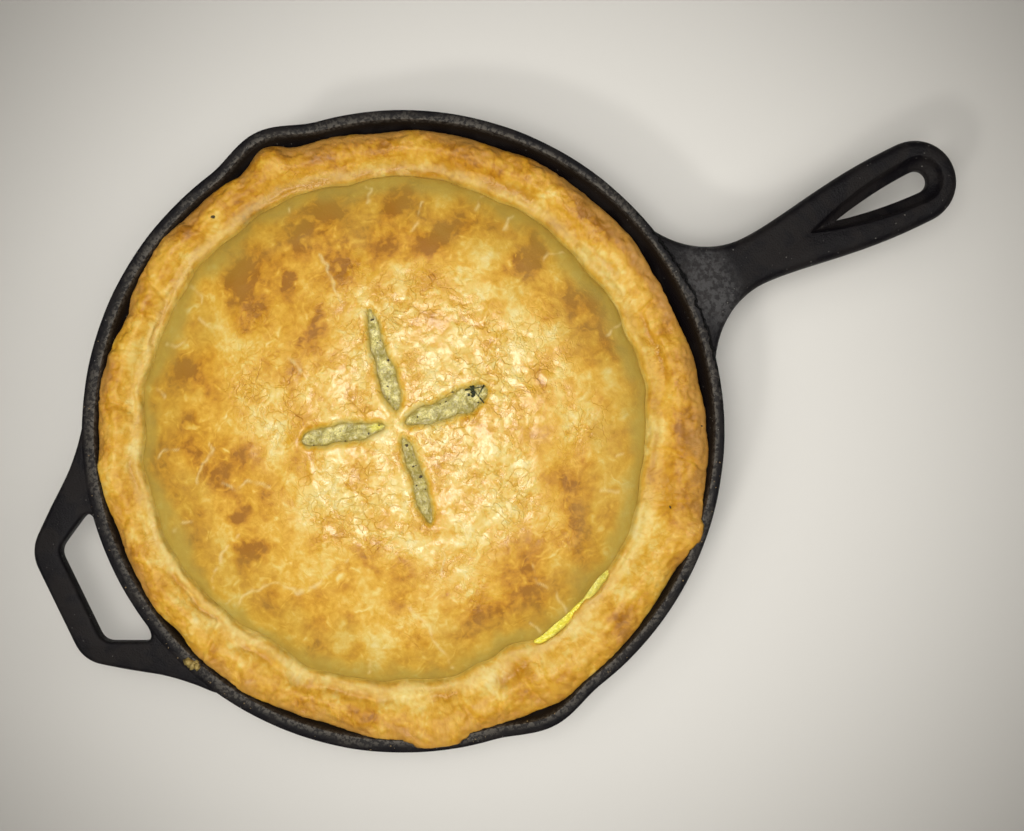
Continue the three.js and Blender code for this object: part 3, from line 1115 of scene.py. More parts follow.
def spun(profile: Sequence[Point], steps: int) -> Shape:
    """Spins a section into a closed solid.

    Args:
        profile: Radius and height of the section's points, from the axis back to the axis.
        steps: Stretches round the solid.

    Returns:
        The solid.
    """
    shape = bmesh.new()
    verts = [shape.verts.new((radius, 0.0, height)) for radius, height in profile]
    edges = [shape.edges.new(pair) for pair in zip(verts, verts[1:])]
    full_turn(shape, [*verts, *edges], steps)
    bmesh.ops.remove_doubles(shape, verts=shape.verts, dist=0.001)
    face_outwards(shape)
    return shape


def extruded(shape: Shape, edges: list[Edge]) -> tuple[list[Corner], list[Edge]]:
    """Extrudes a rim in place, and returns the new corners and the new edges."""
    made = bmesh.ops.extrude_edge_only(shape, edges=edges)["geom"]
    return [item for item in made if isinstance(item, Corner)], [item for item in made if isinstance(item, Edge)]


def half_round(middle: float, radius: float, count: int) -> list[Point]:
    """Points of a half circle that bulges along +X, about a middle on the X axis."""
    turns = np.linspace(-math.pi / 2, math.pi / 2, count)
    return [(middle + radius * math.cos(t), radius * math.sin(t)) for t in turns]


def evenly(points: Array, count: int) -> Array:
    """Spaces points evenly along a closed outline.

    Args:
        points: Corners of the outline, one a row.
        count: How many points to return.

    Returns:
        The new points, one a row, from the same first point.
    """
    closed = np.vstack([points, points[:1]])
    run = np.concatenate([[0.0], np.cumsum(np.hypot(*np.diff(closed, axis=0).T))])
    marks = np.arange(count) / count * run[-1]
    return np.column_stack([np.interp(marks, run, closed[:, axis]) for axis in (0, 1)])


def grown(outline: Array, by: float) -> Array:
    """Moves a counter-clockwise outline outwards along its normals.

    Args:
        outline: The outline's points.
        by: How far to move it.

    Returns:
        The moved points.
    """
    along = np.roll(outline, -1, axis=0) - np.roll(outline, 1, axis=0)
    along /= np.maximum(np.hypot(along[:, 0], along[:, 1]), 1e-9)[:, None]
    return outline + by * np.column_stack([along[:, 1], -along[:, 0]])


def curve(*knots: Point, steps: int = 14) -> list[Point]:
    """Points along a smooth curve from the first knot to the fourth, drawn by the two between."""
    first, handle, other, last = (Vector((*knot, 0.0)) for knot in knots)
    return [(point.x, point.y) for point in interpolate_bezier(first, handle, other, last, steps)]


def rounded(corners: Sequence[tuple[float, float, float]], steps: int = 9) -> Array:
    """Rounds the corners of an outline.

    Args:
        corners: Place of each corner, and how far from it the rounding starts.
        steps: Points in each rounding.

    Returns:
        The outline's points, one a row.
    """
    points: list[Point] = []
    for i, (x, y, reach) in enumerate(corners):
        here = Vector((x, y))
        before = Vector(corners[i - 1][:2])
        after = Vector(corners[(i + 1) % len(corners)][:2])
        entry = here + (before - here).normalized() * reach
        leave = here + (after - here).normalized() * reach
        points += curve(entry[:], here.lerp(entry, 0.35)[:], here.lerp(leave, 0.35)[:], leave[:], steps=steps)
    return np.array(points)


def as_object(shape: Shape, name: str) -> Piece:
    """Turns a shape in millimetres into an object, still in millimetres.

    Args:
        shape: The shape, which is freed.
        name: The object's name.

    Returns:
        The object.
    """
    mesh = bpy.data.meshes.new(name)
    shape.to_mesh(mesh)
    shape.free()
    made = bpy.data.objects.new(name, mesh)
    bpy.context.scene.collection.objects.link(made)
    return made


def carve(piece: Piece, tool: Piece, how: Carving) -> None:
    """Adds a solid to a piece or cuts it away, and drops the solid.

    Args:
        piece: The piece that changes.
        tool: The solid that it is changed by.
        how: Whether the solid is added or cut away.
    """
    cut = piece.modifiers.new("carve", "BOOLEAN")
    cut.operation = how.value
    cut.solver = "MANIFOLD"
    cut.object = tool
    bpy.context.view_layer.update()
    carved = bpy.data.meshes.new_from_object(piece.evaluated_get(bpy.context.evaluated_depsgraph_get()))
    if not carved.vertices:
        raise RuntimeError(f"carving {piece.name} with {tool.name} left nothing")
    piece.modifiers.remove(cut)
    carved.name, piece.data = piece.name, carved
    bpy.data.objects.remove(tool)


def paint(piece: Piece, **layers: Array) -> None:
    """Stores each layer's value for each vertex, clipped to between 0 and 1.

    Args:
        piece: The piece.
        layers: The values of each layer, by its name.
    """
    for name, values in layers.items():
        layer = piece.data.attributes.new(name, "FLOAT", "POINT")
        layer.data.foreach_set("value", np.clip(values, 0.0, 1.0).astype(np.float32))


def vertices(piece: Piece) -> Array:
    """The vertices of a piece, one a row.

    Args:
        piece: The piece.

    Returns:
        X, Y and Z of each vertex.
    """
    flat = np.zeros(len(piece.data.vertices) * 3, np.float32)
    piece.data.vertices.foreach_get("co", flat)
    return flat.reshape(-1, 3).astype(float)


def complete(
    piece: Piece, material: Material, node: str | None, sharp: float = 180.0
) -> Piece:
    """Scales a piece to metres, gives it its finish and its body, and hides the solid that it stands for.

    Args:
        piece: The piece, in millimetres.
        material: Its finish.
        node: The solid that it stands for, or None.
        sharp: Edges that bend by more than this many degrees stay sharp.

    Returns:
        The piece.
    """
    mesh = piece.data
    mesh.transform(Matrix.Scale(MM, 4))
    mesh.shade_smooth()
    if sharp < 180.0:
        mesh.set_sharp_from_angle(angle=math.radians(sharp))
    mesh.materials.clear()
    mesh.materials.append(material)
    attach(piece, "root")
    if node:
        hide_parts(node)
    triangles = sum(len(polygon.vertices) - 2 for polygon in mesh.polygons)
    LOG.info("%s: %d triangles", piece.name, triangles)
    return piece


# ----- skillet


@dataclass
class Skillet:
    """The cast-iron skillet: pan, spouts, long handle and helper handle, cast in one."""

    form: PanForm
    steps: int = 400
    rim_round: float = 1.1
    handle_bottom: float = 44.4
    handle_top: float = 56.4
    handle_round: float = 4.2
    neck_x: float = 186.0
    neck_half: float = 12.0
    wide_x: float = 266.0
    wide_half: float = 19.9
    handle_end: float = 292.0
    recess_depth: float = 5.0
    recess_reach: tuple[float, float, float] = (216.0, 284.6, 10.8)
    hole_reach: tuple[float, float, float] = (231.0, 279.4, 5.3)
    helper_bottom: float = 48.6
    helper_top: float = 56.6
    helper_round: float = 2.4
    helper_flare: float = 1.9
    helper_lean: Point = (153.0, 170.0)
    helper_hole_inner: float = 151.6
    root_x: float = 148.0
    root_half: float = 40.0

    def pan_profile(self) -> list[Point]:
        """The pan's section as radius and height, from the middle of the base round to the floor.

        Returns:
            The section's points.
        """
        form, turn = self.form, self.rim_round
        up, down = np.arange(10.0, 55.0, 3.0), np.arange(54.0, 9.0, -3.0)
        outer = zip(form.outside(np.zeros_like(up), up), up)
        inner = zip(form.inside(np.zeros_like(down), down), down)
        rim_out, rim_in, top = form.rim_radius, form.rim_radius - form.wall, form.height
        rim = [
            (rim_out, top - turn),
            (rim_out - 0.3 * turn, top - 0.35 * turn),
            (rim_out - turn, top),
            (rim_out - form.wall / 2, top + 0.05),
            (rim_in + 0.8, top),
            (rim_in + 0.22, top - 0.22),
            (rim_in, top - 0.8),
        ]
        foot = form.base_radius
        base = [(0.0, 0.0), (foot - 8, 0.0), (foot - 5.6, 0.6), (foot - 3, 2.0), (foot - 1.2, 4.4), (foot, 7.0)]
        well = foot - form.wall
        floor = [(well - 0.4, form.floor + 3.4), (well - 2.6, form.floor + 1.4), (well - 8, form.floor)]
        return [*base, *outer, *rim, *inner, *floor, (well / 2, form.floor), (0.0, form.floor)]

    def pan(self) -> Shape:
        """Spins the section into the pan and pulls out its spouts.

        Returns:
            The pan's solid.
        """
        shape = spun(self.pan_profile(), self.steps)
        where = places(shape.verts)
        radius, angle = polar(where)
        uneven = 0.16 * lumps(where, 34.0, 2) * ease(radius, 60, 120)
        inner = ease(self.form.rim_radius - radius, 1.2, 3.6)
        pulled = radius + self.form.bulge(angle, where[:, 2]) + uneven
        pulled -= inner * self.form.thickening(angle, where[:, 2])
        where[:, :2] *= (pulled / np.maximum(radius, 1e-6))[:, None]
        move_to(shape.verts, where)
        return shape

    def lean_root(self, shape: Shape, near: float, far: float) -> Shape:
        """Leans a handle's root with the wall that it grows out of.

        Args:
            shape: The handle.
            near: Distance along X up to which it leans fully.
            far: Distance along X from which it is level.

        Returns:
            The same handle.
        """
        where = places(shape.verts)
        share = fall(np.abs(where[:, 0]), near, far)
        inwards = share * self.form.lean * (self.form.height - where[:, 2])
        where[:, 0] -= np.sign(where[:, 0]) * inwards
        move_to(shape.verts, where)
        return shape

    def plate_rings(
        self, outline: Array, bottom: float, top: float, edge: float, bend: float = 1.0, count: int = 6
    ) -> list[tuple[Array, float]]:
        """Rings of a plate whose top and bottom edges are rounded.

        Args:
            outline: The plate's outline.
            bottom: Height of its underside.
            top: Height of its upper side.
            edge: Radius of its rounded edges.
            bend: 1 where the edges are rounded off, and -1 where they flare.
            count: Rings in each rounding.

        Returns:
            Outline and height of each ring, from the bottom up.
        """
        turns = np.linspace(0.0, np.pi / 2, count)
        lower = [(grown(outline, bend * edge * (np.sin(t) - 1)), bottom + edge * (1 - np.cos(t))) for t in turns]
        upper = [(grown(outline, bend * edge * (np.cos(t) - 1)), top - edge * (1 - np.sin(t))) for t in turns]
        return lower + upper

    def long_handle_outline(self) -> Array:
        """The long handle from above, with a root that reaches into the pan.

        Returns:
            Points of the outline, counter-clockwise.
        """
        root, half, neck, wide = self.root_x, self.root_half, self.neck_x, self.wide_x
        round_x = self.handle_end - self.wide_half
        flare = 0.36 * (neck - root)
        low = -self.neck_half
        to_neck = curve((root, -half), (root + 10, -half / 2), (neck - flare, low), (neck, low))
        to_end = curve((neck, low), (neck + 20, low), (wide - 34, -self.wide_half), (wide, -self.wide_half))
        right = [(root - 14, -half), *to_neck, *to_end[1:]]
        left = [(x, -y) for x, y in reversed(right)]
        return evenly(np.array([*right, *half_round(round_x, self.wide_half, 30), *left]), 300)

    def teardrop(self, point: float, end: float, half: float) -> Array:
        """A teardrop outline with its sharp end towards the pan.

        Args:
            point: Where its sharp end is along X.
            end: Where its round end is along X.
            half: Half its width.

        Returns:
            Points of the outline, counter-clockwise.
        """
        round_x = end - half
        belly = (point + (round_x - point) * 0.45, -half * 0.85)
        side = curve((point, 0), belly, (round_x - half, -half), (round_x, -half))
        other = [(x, -y) for x, y in reversed(side)]
        return evenly(np.array([*side, *half_round(round_x, half, 20)[1:-1], *other[:-1]]), 120)

    def recess(self) -> Shape:
        """The tool that cuts the teardrop recess and the hanging hole.

        Returns:
            The tool's solid.
        """
        wide, hole = self.teardrop(*self.recess_reach), self.teardrop(*self.hole_reach)
        bottom, top, deep = self.handle_bottom, self.handle_top, self.handle_top - self.recess_depth
        steps = [
            (grown(hole, 1.4), bottom - 1.0),
            (grown(hole, 0.9), bottom + 0.3),
            (hole, bottom + 2.2),
            (hole, deep - 1.2),
            (grown(hole, 0.5), deep - 0.4),
            (grown(hole, 1.3), deep + 0.1),
            (wide + (hole - wide) * 0.36, deep + 1.1),
            (wide + (hole - wide) * 0.16, deep + 2.2),
            (wide, top - 0.9),
            (grown(wide, 0.4), top - 0.2),
            (grown(wide, 1.0), top + 0.05),
            (grown(wide, 1.2), top + 2.0),
        ]
        return loft(steps)

    def helper_outline(self) -> Array:
        """The helper handle from above, with roots that reach into the pan.

        Returns:
            Points of its outline.
        """
        upper = [(-112.0, 62.0, 6.0), (-131.0, 78.0, 10.0), (-146.0, 58.5, 12.0), (-185.2, 26.5, 9.0)]
        lower = [(-185.2, -31.5, 9.0), (-147.5, -60.0, 12.0), (-131.0, -79.0, 10.0), (-112.0, -62.0, 6.0)]
        return evenly(rounded([*upper, *lower]), 320)

    def helper_hole(self) -> Array:
        """The opening in the helper handle, whose inner side follows the rim.

        Returns:
            Points of the outline, counter-clockwise.
        """
        bend = [(-math.sqrt(self.helper_hole_inner**2 - y**2), y, 1.0) for y in (-18.0, -2.0, 14.0)]
        low = [(-172.8, -27.2, 4.5), (-150.2, -38.4, 6.5)]
        high = [(-150.6, 33.0, 7.0), (-172.8, 21.2, 4.5)]
        return evenly(rounded([*low, *bend, *high]), 200)

    def helper_handle(self) -> Shape:
        """The helper handle: a rounded loop of iron."""
        plate = loft(self.plate_rings(self.helper_outline(), self.helper_bottom, self.helper_top, self.helper_round))
        return self.lean_root(plate, *self.helper_lean)

    def helper_cutter(self) -> Shape:
        """The tool that opens the helper handle, flared so that it leaves rounded edges.

        Returns:
            The tool's solid.
        """
        hole, edge, bottom, top = self.helper_hole(), self.helper_flare, self.helper_bottom, self.helper_top
        flared = self.plate_rings(hole, bottom, top, edge, bend=-1.0, count=5)
        return loft([(grown(hole, edge), bottom - 2), *flared, (grown(hole, edge), top + 2)])

    def room(self) -> Shape:
        """The space inside the pan's wall, which the roots of the handles are cut back to.

        Returns:
            Its solid.
        """
        heights = np.array([36.0, 40.0, 44.0, 48.0, 52.0, 57.0, 64.0])
        radii = self.form.inside(np.zeros(7), np.minimum(heights, 55.0)) + 2.2
        turns = np.radians(np.arange(0.0, 360.0, 1.5))
        circle = np.column_stack([np.cos(turns), np.sin(turns)])
        return loft([(radius * circle, height) for radius, height in zip(radii, heights)])

    def build(self, finish: SeasonedIron, effects: Effects) -> Piece:
        """Builds and dresses the skillet.

        Args:
            finish: The iron's finish.
            effects: The shared groups.

        Returns:
            The skillet.
        """
        bottom, top, edge = self.handle_bottom, self.handle_top, self.handle_round
        bar = loft(self.plate_rings(self.long_handle_outline(), bottom, top, edge))
        long_handle = as_object(self.lean_root(bar, self.root_x, self.neck_x), "long_handle")
        carve(long_handle, as_object(self.recess(), "recess_tool"), Carving.CUT)
        helper = as_object(self.helper_handle(), "helper_handle")
        carve(helper, as_object(self.helper_cutter(), "helper_tool"), Carving.CUT)
        casting = as_object(self.pan(), "skillet_casting")
        for handle in (long_handle, helper):
            carve(handle, as_object(self.room(), "room_tool"), Carving.CUT)
            carve(casting, handle, Carving.ADD)
        self.paint_wear_and_highlight(casting)
        return complete(casting, finish.material(effects), "skillet", sharp=38.0)

    def paint_wear_and_highlight(self, casting: Piece) -> None:
        """Paints where the rim is rubbed, the painted highlight along its inner edge, and where food has baked on.

        Args:
            casting: The skillet, in millimetres.
        """
        where = vertices(casting)
        radius, angle = polar(where)
        inside = self.form.inside(angle, where[:, 2])
        # A light line along the rim's rounded inner edge is a painted highlight where the edge catches the light; the
        # rubbed patches are wear of the seasoning.
        near_inner_edge = fall(np.abs(radius - inside - 0.4), 0.1, 1.1)
        on_rim = ease(radius - inside, -0.4, 0.2) * fall(radius - inside, 3.4, 4.6)
        rubbed = 0.42 * on_rim * ease(lumps(where, 24.0, 3, 110.0), -0.1, 0.35)
        worn = np.maximum(near_inner_edge, rubbed) * ease(where[:, 2], 55.4, 56.6)
        deep = ease(inside + 0.4 - radius, 0.0, 0.3) * ease(where[:, 2], 49.0, 54.5)
        paint(casting, worn=worn, inner=deep * fall(where[:, 2], 55.0, 56.8))


# ----- domed lid


@dataclass(frozen=True)
class Patch:
    """A browner place on the crust, or a paler one where its strength is negative."""

    x: float
    y: float
    radius: float
    strength: float


@dataclass
class DomedLid:
    """The puffed middle of the crust, with four vents, a crinkled glaze and hairline cracks."""

    form: CrustForm
    cells: int = 300
    sharpest: float = 0.37
    film_middle: Point = (4.0, -4.0)
    patches: tuple[Patch, ...] = many(
        Patch,
        (7, 110, 9, 0.60), (16, 110, 8, 0.80), (10, 90, 9, 0.95), (9, 79, 7, 0.70), (27, 84, 12, 0.70),
        (-40, 95, 12, 0.60), (-76, 75, 9, 0.50), (-86, 68, 7, 0.50), (-40, 77, 8, 0.55), (-18, 84, 4, 0.80),
        (6, 67, 4, 0.80), (-19, 56, 7, 0.70), (-36, 47, 8, 0.60), (-38, 111, 9, 0.40), (48, 94, 12, 0.60),
        (46, 74, 10, 0.80), (58, 75, 8, 0.60), (72, 81, 9, 0.55), (91, 48, 10, 0.60), (106, 20, 10, 0.70),
        (91, 18, 8, 0.60), (41, 36, 7, 0.70), (31, 53, 5, 0.50), (70, -2, 6, 0.60), (105, -7, 7, 0.40),
        (58, -71, 8, 0.40), (17, -89, 10, 0.55), (-3, -94, 11, 0.60), (-16, -99, 7, 0.40), (-27, -61, 8, 0.45),
        (-33, -71, 7, 0.30), (-87, -1, 7, 0.60), (-91, -23, 11, 0.70), (-88, 19, 9, 0.45), (-37, -43, 7, 0.75),
        (-24, -31, 4, 0.70), (-90, -42, 8, 0.50), (-76, -58, 8, 0.45), (-66, -83, 7, 0.50), (-81, -76, 6, 0.40),
        (-31, -12, 5, 0.50), (-16, 61, 6, 0.60), (-9, 65, 6, 0.60), (-83, 47, 7, 0.10), (-0.5, 3.5, 8, -0.50),
        (-65, -56, 10, -0.35), (-10, -62, 9, -0.30),
    )
    hairlines: tuple[tuple[Point, ...], ...] = (
        ((1, 92), (2, 86), (1, 76), (2, 67)), ((-2, 119), (-2, 113)), ((35, 113), (37, 110), (32, 104)),
        ((-61, 106), (-58, 99), (-59, 96)), ((-63, 90), (-60, 85), (-55, 81)),
        ((-83, 87), (-78, 84), (-73, 85)), ((-98, 71), (-94, 64)), ((56, 94), (49, 86), (46, 83)),
        ((-32, 55), (-30, 48), (-27, 38)), ((-32, -77), (-29, -89), (-30, -96), (-28, -104), (-28, -112)),
        ((-5, -52), (-8, -61), (-14, -72)), ((72, -66), (80, -71)), ((92, -57), (86, -55)),
        ((29, -84), (26, -91), (29, -97)), ((-112, 39), (-105, 41), (-99, 38)),
        ((-84, 35), (-83, 31), (-95, 25), (-98, 21)), ((-87, 15), (-81, 10), (-75, 10), (-68, 4)),
        ((-119, 5), (-116, 7), (-108, 5)), ((-114, -27), (-110, -21), (-99, -13), (-91, -10)),
        ((-108, -39), (-100, -36), (-90, -37), (-83, -39), (-78, -47), (-70, -48), (-60, -45), (-49, -43)),
        ((-33, -76), (-32, -82)), ((116, 0), (111, 1), (108, -2)), ((106, 43), (100, 46), (95, 43)),
        ((94, 70), (88, 68), (85, 65)), ((83, 84), (77, 79)), ((-65, -97), (-62, -91)),
        ((17, -115), (14, -109)), ((33, -111), (31, -103), (32, -99)),
    )
    veins: tuple[tuple[Point, ...], ...] = (
        ((-31, 53), (-30, 43), (-27, 37)), ((69, 43), (64, 36), (57, 29)),
        ((64, 20), (56, 17), (50, 16), (49, 10), (53, 4), (59, -2), (63, -9)),
        ((25, -29), (29, -34), (31, -43), (36, -50), (44, -50)),
        ((-45, 7), (-49, -6), (-48, -15), (-42, -13), (-36, -8)), ((-49, -16), (-56, -30), (-64, -44)),
        ((-32, -11), (-34, -20), (-33, -28)),
    )

    def cap(self) -> Shape:
        """A fine grid mapped onto the lid's round plan, with its underside and side closed.

        Returns:
            The lid's plain solid.
        """
        form = self.form
        shape = bmesh.new()
        bmesh.ops.create_grid(shape, x_segments=self.cells, y_segments=self.cells, size=1.0)
        flat = places(shape.verts)
        x, y = flat[:, 0], flat[:, 1]
        u, v = x * np.sqrt(1.0 - y**2 / 2.0), y * np.sqrt(1.0 - x**2 / 2.0)
        share = np.minimum(np.hypot(u, v), 1.0)
        turn = np.arctan2(v, u)
        angle = np.degrees(turn)
        radius = share * form.groove_radius(angle)
        top = form.dome_height(angle, share)
        move_to(shape.verts, around(radius, turn, top))
        edge = [e for e in shape.edges if e.is_boundary]
        thick = form.pastry + 0.6
        rows = ((1.012, 3.0, 1.0), (0.985, 7.0, 1.0), (0.9, thick, 0.9), (0.66, thick, 0.66), (0.3, thick, 0.3))
        for reach, drop, follows in rows:
            rim, edge = extruded(shape, edge)
            turn = np.array([math.atan2(vert.co.y, vert.co.x) for vert in rim])
            angle = np.degrees(turn)
            height = form.dome_height(angle, np.full_like(angle, follows)) - drop
            move_to(rim, around(reach * form.groove_radius(angle), turn, height))
        bmesh.ops.edgeloop_fill(shape, edges=edge)
        face_outwards(shape)
        return shape

    def crinkled(self, x: Array, y: Array) -> Array:
        """How strongly the glaze is crinkled at each place: most in the middle, little outside."""
        reach = np.hypot(x - self.film_middle[0], y - self.film_middle[1]) + 26.0 * lumps(level(x, y), 38.0, 2, 3.0)
        return 0.10 + 0.90 * fall(reach, 48.0, 96.0)

    def crease_lines(self, x: Array, y: Array) -> Array:
        """Thin valleys of the crinkled glaze: 1 along their bottoms."""
        bent = level(*strayed(x, y, 2.6, 9.0, 2, 5.0))
        return np.maximum(creases(bent, 12.0, 2, 1.0), 0.6 * creases(bent, 5.5, 2, 4.0))

    def relief(self, x: Array, y: Array, share: Array) -> Array:
        """Height of everything that lies on the plain dome.

        Args:
            x: X of each place.
            y: Y of each place.
            share: How far each place is from the middle to the groove.

        Returns:
            One height for each place.
        """
        flat = level(x, y)
        crinkle = self.crinkled(x, y)
        height = 1.1 * lumps(flat, 62.0, 2, 2.0) + 0.45 * lumps(flat, 19.0, 2, 6.0)
        height += (0.16 + 0.20 * crinkle) * lumps(flat, 7.0, 2, 9.0)
        height -= self.sharpest * crinkle * self.crease_lines(x, y)
        bent = strayed(x, y, 1.3, 6.0, 2, 11.0)
        for path in self.veins:
            height += 0.40 * bell(distance_to_path(*bent, path) / 1.1)
        for vent in self.form.vents:
            away = vent.distance(x, y)
            height += 0.35 * bell((away - 4.2) / 2.4)
            height -= 1.35 * fall(away, -0.4, 2.3)
        return height * fall(share, 0.965, 1.0)

    def build(self, finish: GlazedPastry, effects: Effects) -> Piece:
        """Builds and dresses the lid.

        Args:
            finish: The pastry's finish.
            effects: The shared groups.

        Returns:
            The lid.
        """
        shape = self.cap()
        where = places(shape.verts)
        radius, angle = polar(where)
        share = radius / self.form.groove_radius(angle)
        plain = self.form.dome_height(angle, np.minimum(share, 1.0))
        upper = np.abs(where[:, 2] - plain) < 0.01
        where[upper, 2] += self.relief(where[upper, 0], where[upper, 1], share[upper])
        move_to(shape.verts, where)
        lid = as_object(shape, "crust_lid")
        for index, vent in enumerate(self.form.vents):
            slit = loft([(vent.outline(64), 40.0), (vent.outline(64), 80.0)])
            carve(lid, as_object(slit, f"vent_tool_{index}"), Carving.CUT)
        self.bake(lid)
        return complete(lid, finish.material(effects), "crust")

    def bake(self, lid: Piece) -> None:
        """Paints how the lid has browned, cracked and taken its glaze, with a painted sheen in its paler middle and
        painted shade on its shoulder and round its vents.

        Args:
            lid: The lid, in millimetres.
        """
        where = vertices(lid)
        x, y = where[:, 0], where[:, 1]
        flat = level(x, y)
        radius, angle = polar(where)
        share = radius / self.form.groove_radius(angle)
        crinkle = self.crinkled(x, y)
        calm = 1.0 - 0.45 * crinkle
        cloud = 0.30 * lumps(flat, 46.0, 4, 20.0) + 0.24 * lumps(flat, 13.0, 3, 23.0)
        # The crinkled middle is painted paler and its mottling calmer: partly the thinly glazed dough's own paler
        # tone, partly a painted sheen where the glaze catches the light.
        brown = 0.44 - 0.37 * crinkle + calm * cloud
        bent_x, bent_y = strayed(x, y, 7.0, 13.0, 3, 22.0)
        ragged = 0.22 * lumps(flat, 4.5, 3, 27.0)
        for patch in self.patches:
            away = np.hypot(bent_x - patch.x, bent_y - patch.y) / patch.radius
            body = fall(away + ragged, 0.70, 1.05)
            brown += calm * patch.strength * (0.34 * bell(away) + 0.28 * body)
        thin = np.zeros_like(x)
        wavy = strayed(x, y, 1.6, 6.0, 2, 30.0)
        for path in self.hairlines:
            thin = np.maximum(thin, bell(distance_to_path(*wavy, path) / 0.62))
        webbed = creases(level(*wavy), 30.0, 2, 44.0)
        thin = np.maximum(thin, 0.5 * ease(webbed, 0.86, 1.0) * (1.0 - crinkle))
        near_vent = np.zeros_like(x)
        for vent in self.form.vents:
            near_vent = np.maximum(near_vent, fall(vent.distance(x, y), -0.3, 1.9))
        # Olive towards the groove: partly the less baked dough's own tint, partly painted shade on the steep shoulder
        # that falls away from the light.
        olive = 0.26 * ease(share + 0.12 * lumps(flat, 22.0, 3, 36.0), 0.74, 0.90)
        olive += 0.55 * ease(share + 0.05 * lumps(flat, 17.0, 3, 37.0), 0.90, 0.985)
        paint(
            lid,
            brown=brown - 0.06 * ease(share, 0.90, 1.0) - 0.22 * near_vent,
            hairline=0.58 * thin * ease(lumps(flat, 5.0, 2, 40.0), -0.55, 0.25),
            # Round the vents: partly the soaked dough's olive tint, partly painted shade at the sunken slit edges.
            olive=np.maximum(olive, 0.85 * near_vent),
            caramel=np.zeros_like(x),
            tan=np.zeros_like(x),
            crease=crinkle * self.crease_lines(x, y),
            glaze=crinkle,
        )


# ----- rolled edge


@dataclass(frozen=True)
class Arc:
    """A stretch of the rolled edge, with its least and greatest reach from the groove in millimetres."""

    start: float
    end: float
    near: float
    far: float
    amount: float

    def along(self, angle: Array) -> Array:
        """How far each angle is from the stretch's middle: 0 there, 1 at its ends."""
        middle, half = (self.start + self.end) / 2, (self.end - self.start) / 2
        return np.abs(between(angle - middle)) / half

    def across(self, reach: Array) -> Array:
        """How far each reach is from the stretch's middle: 0 there, 1 at its sides."""
        return np.abs(reach - (self.near + self.far) / 2) / ((self.far - self.near) / 2)


@dataclass(frozen=True)
class Crease:
    """A crease that runs across the rolled edge, between two folds of dough."""

    angle: float
    slant: float
    depth: float


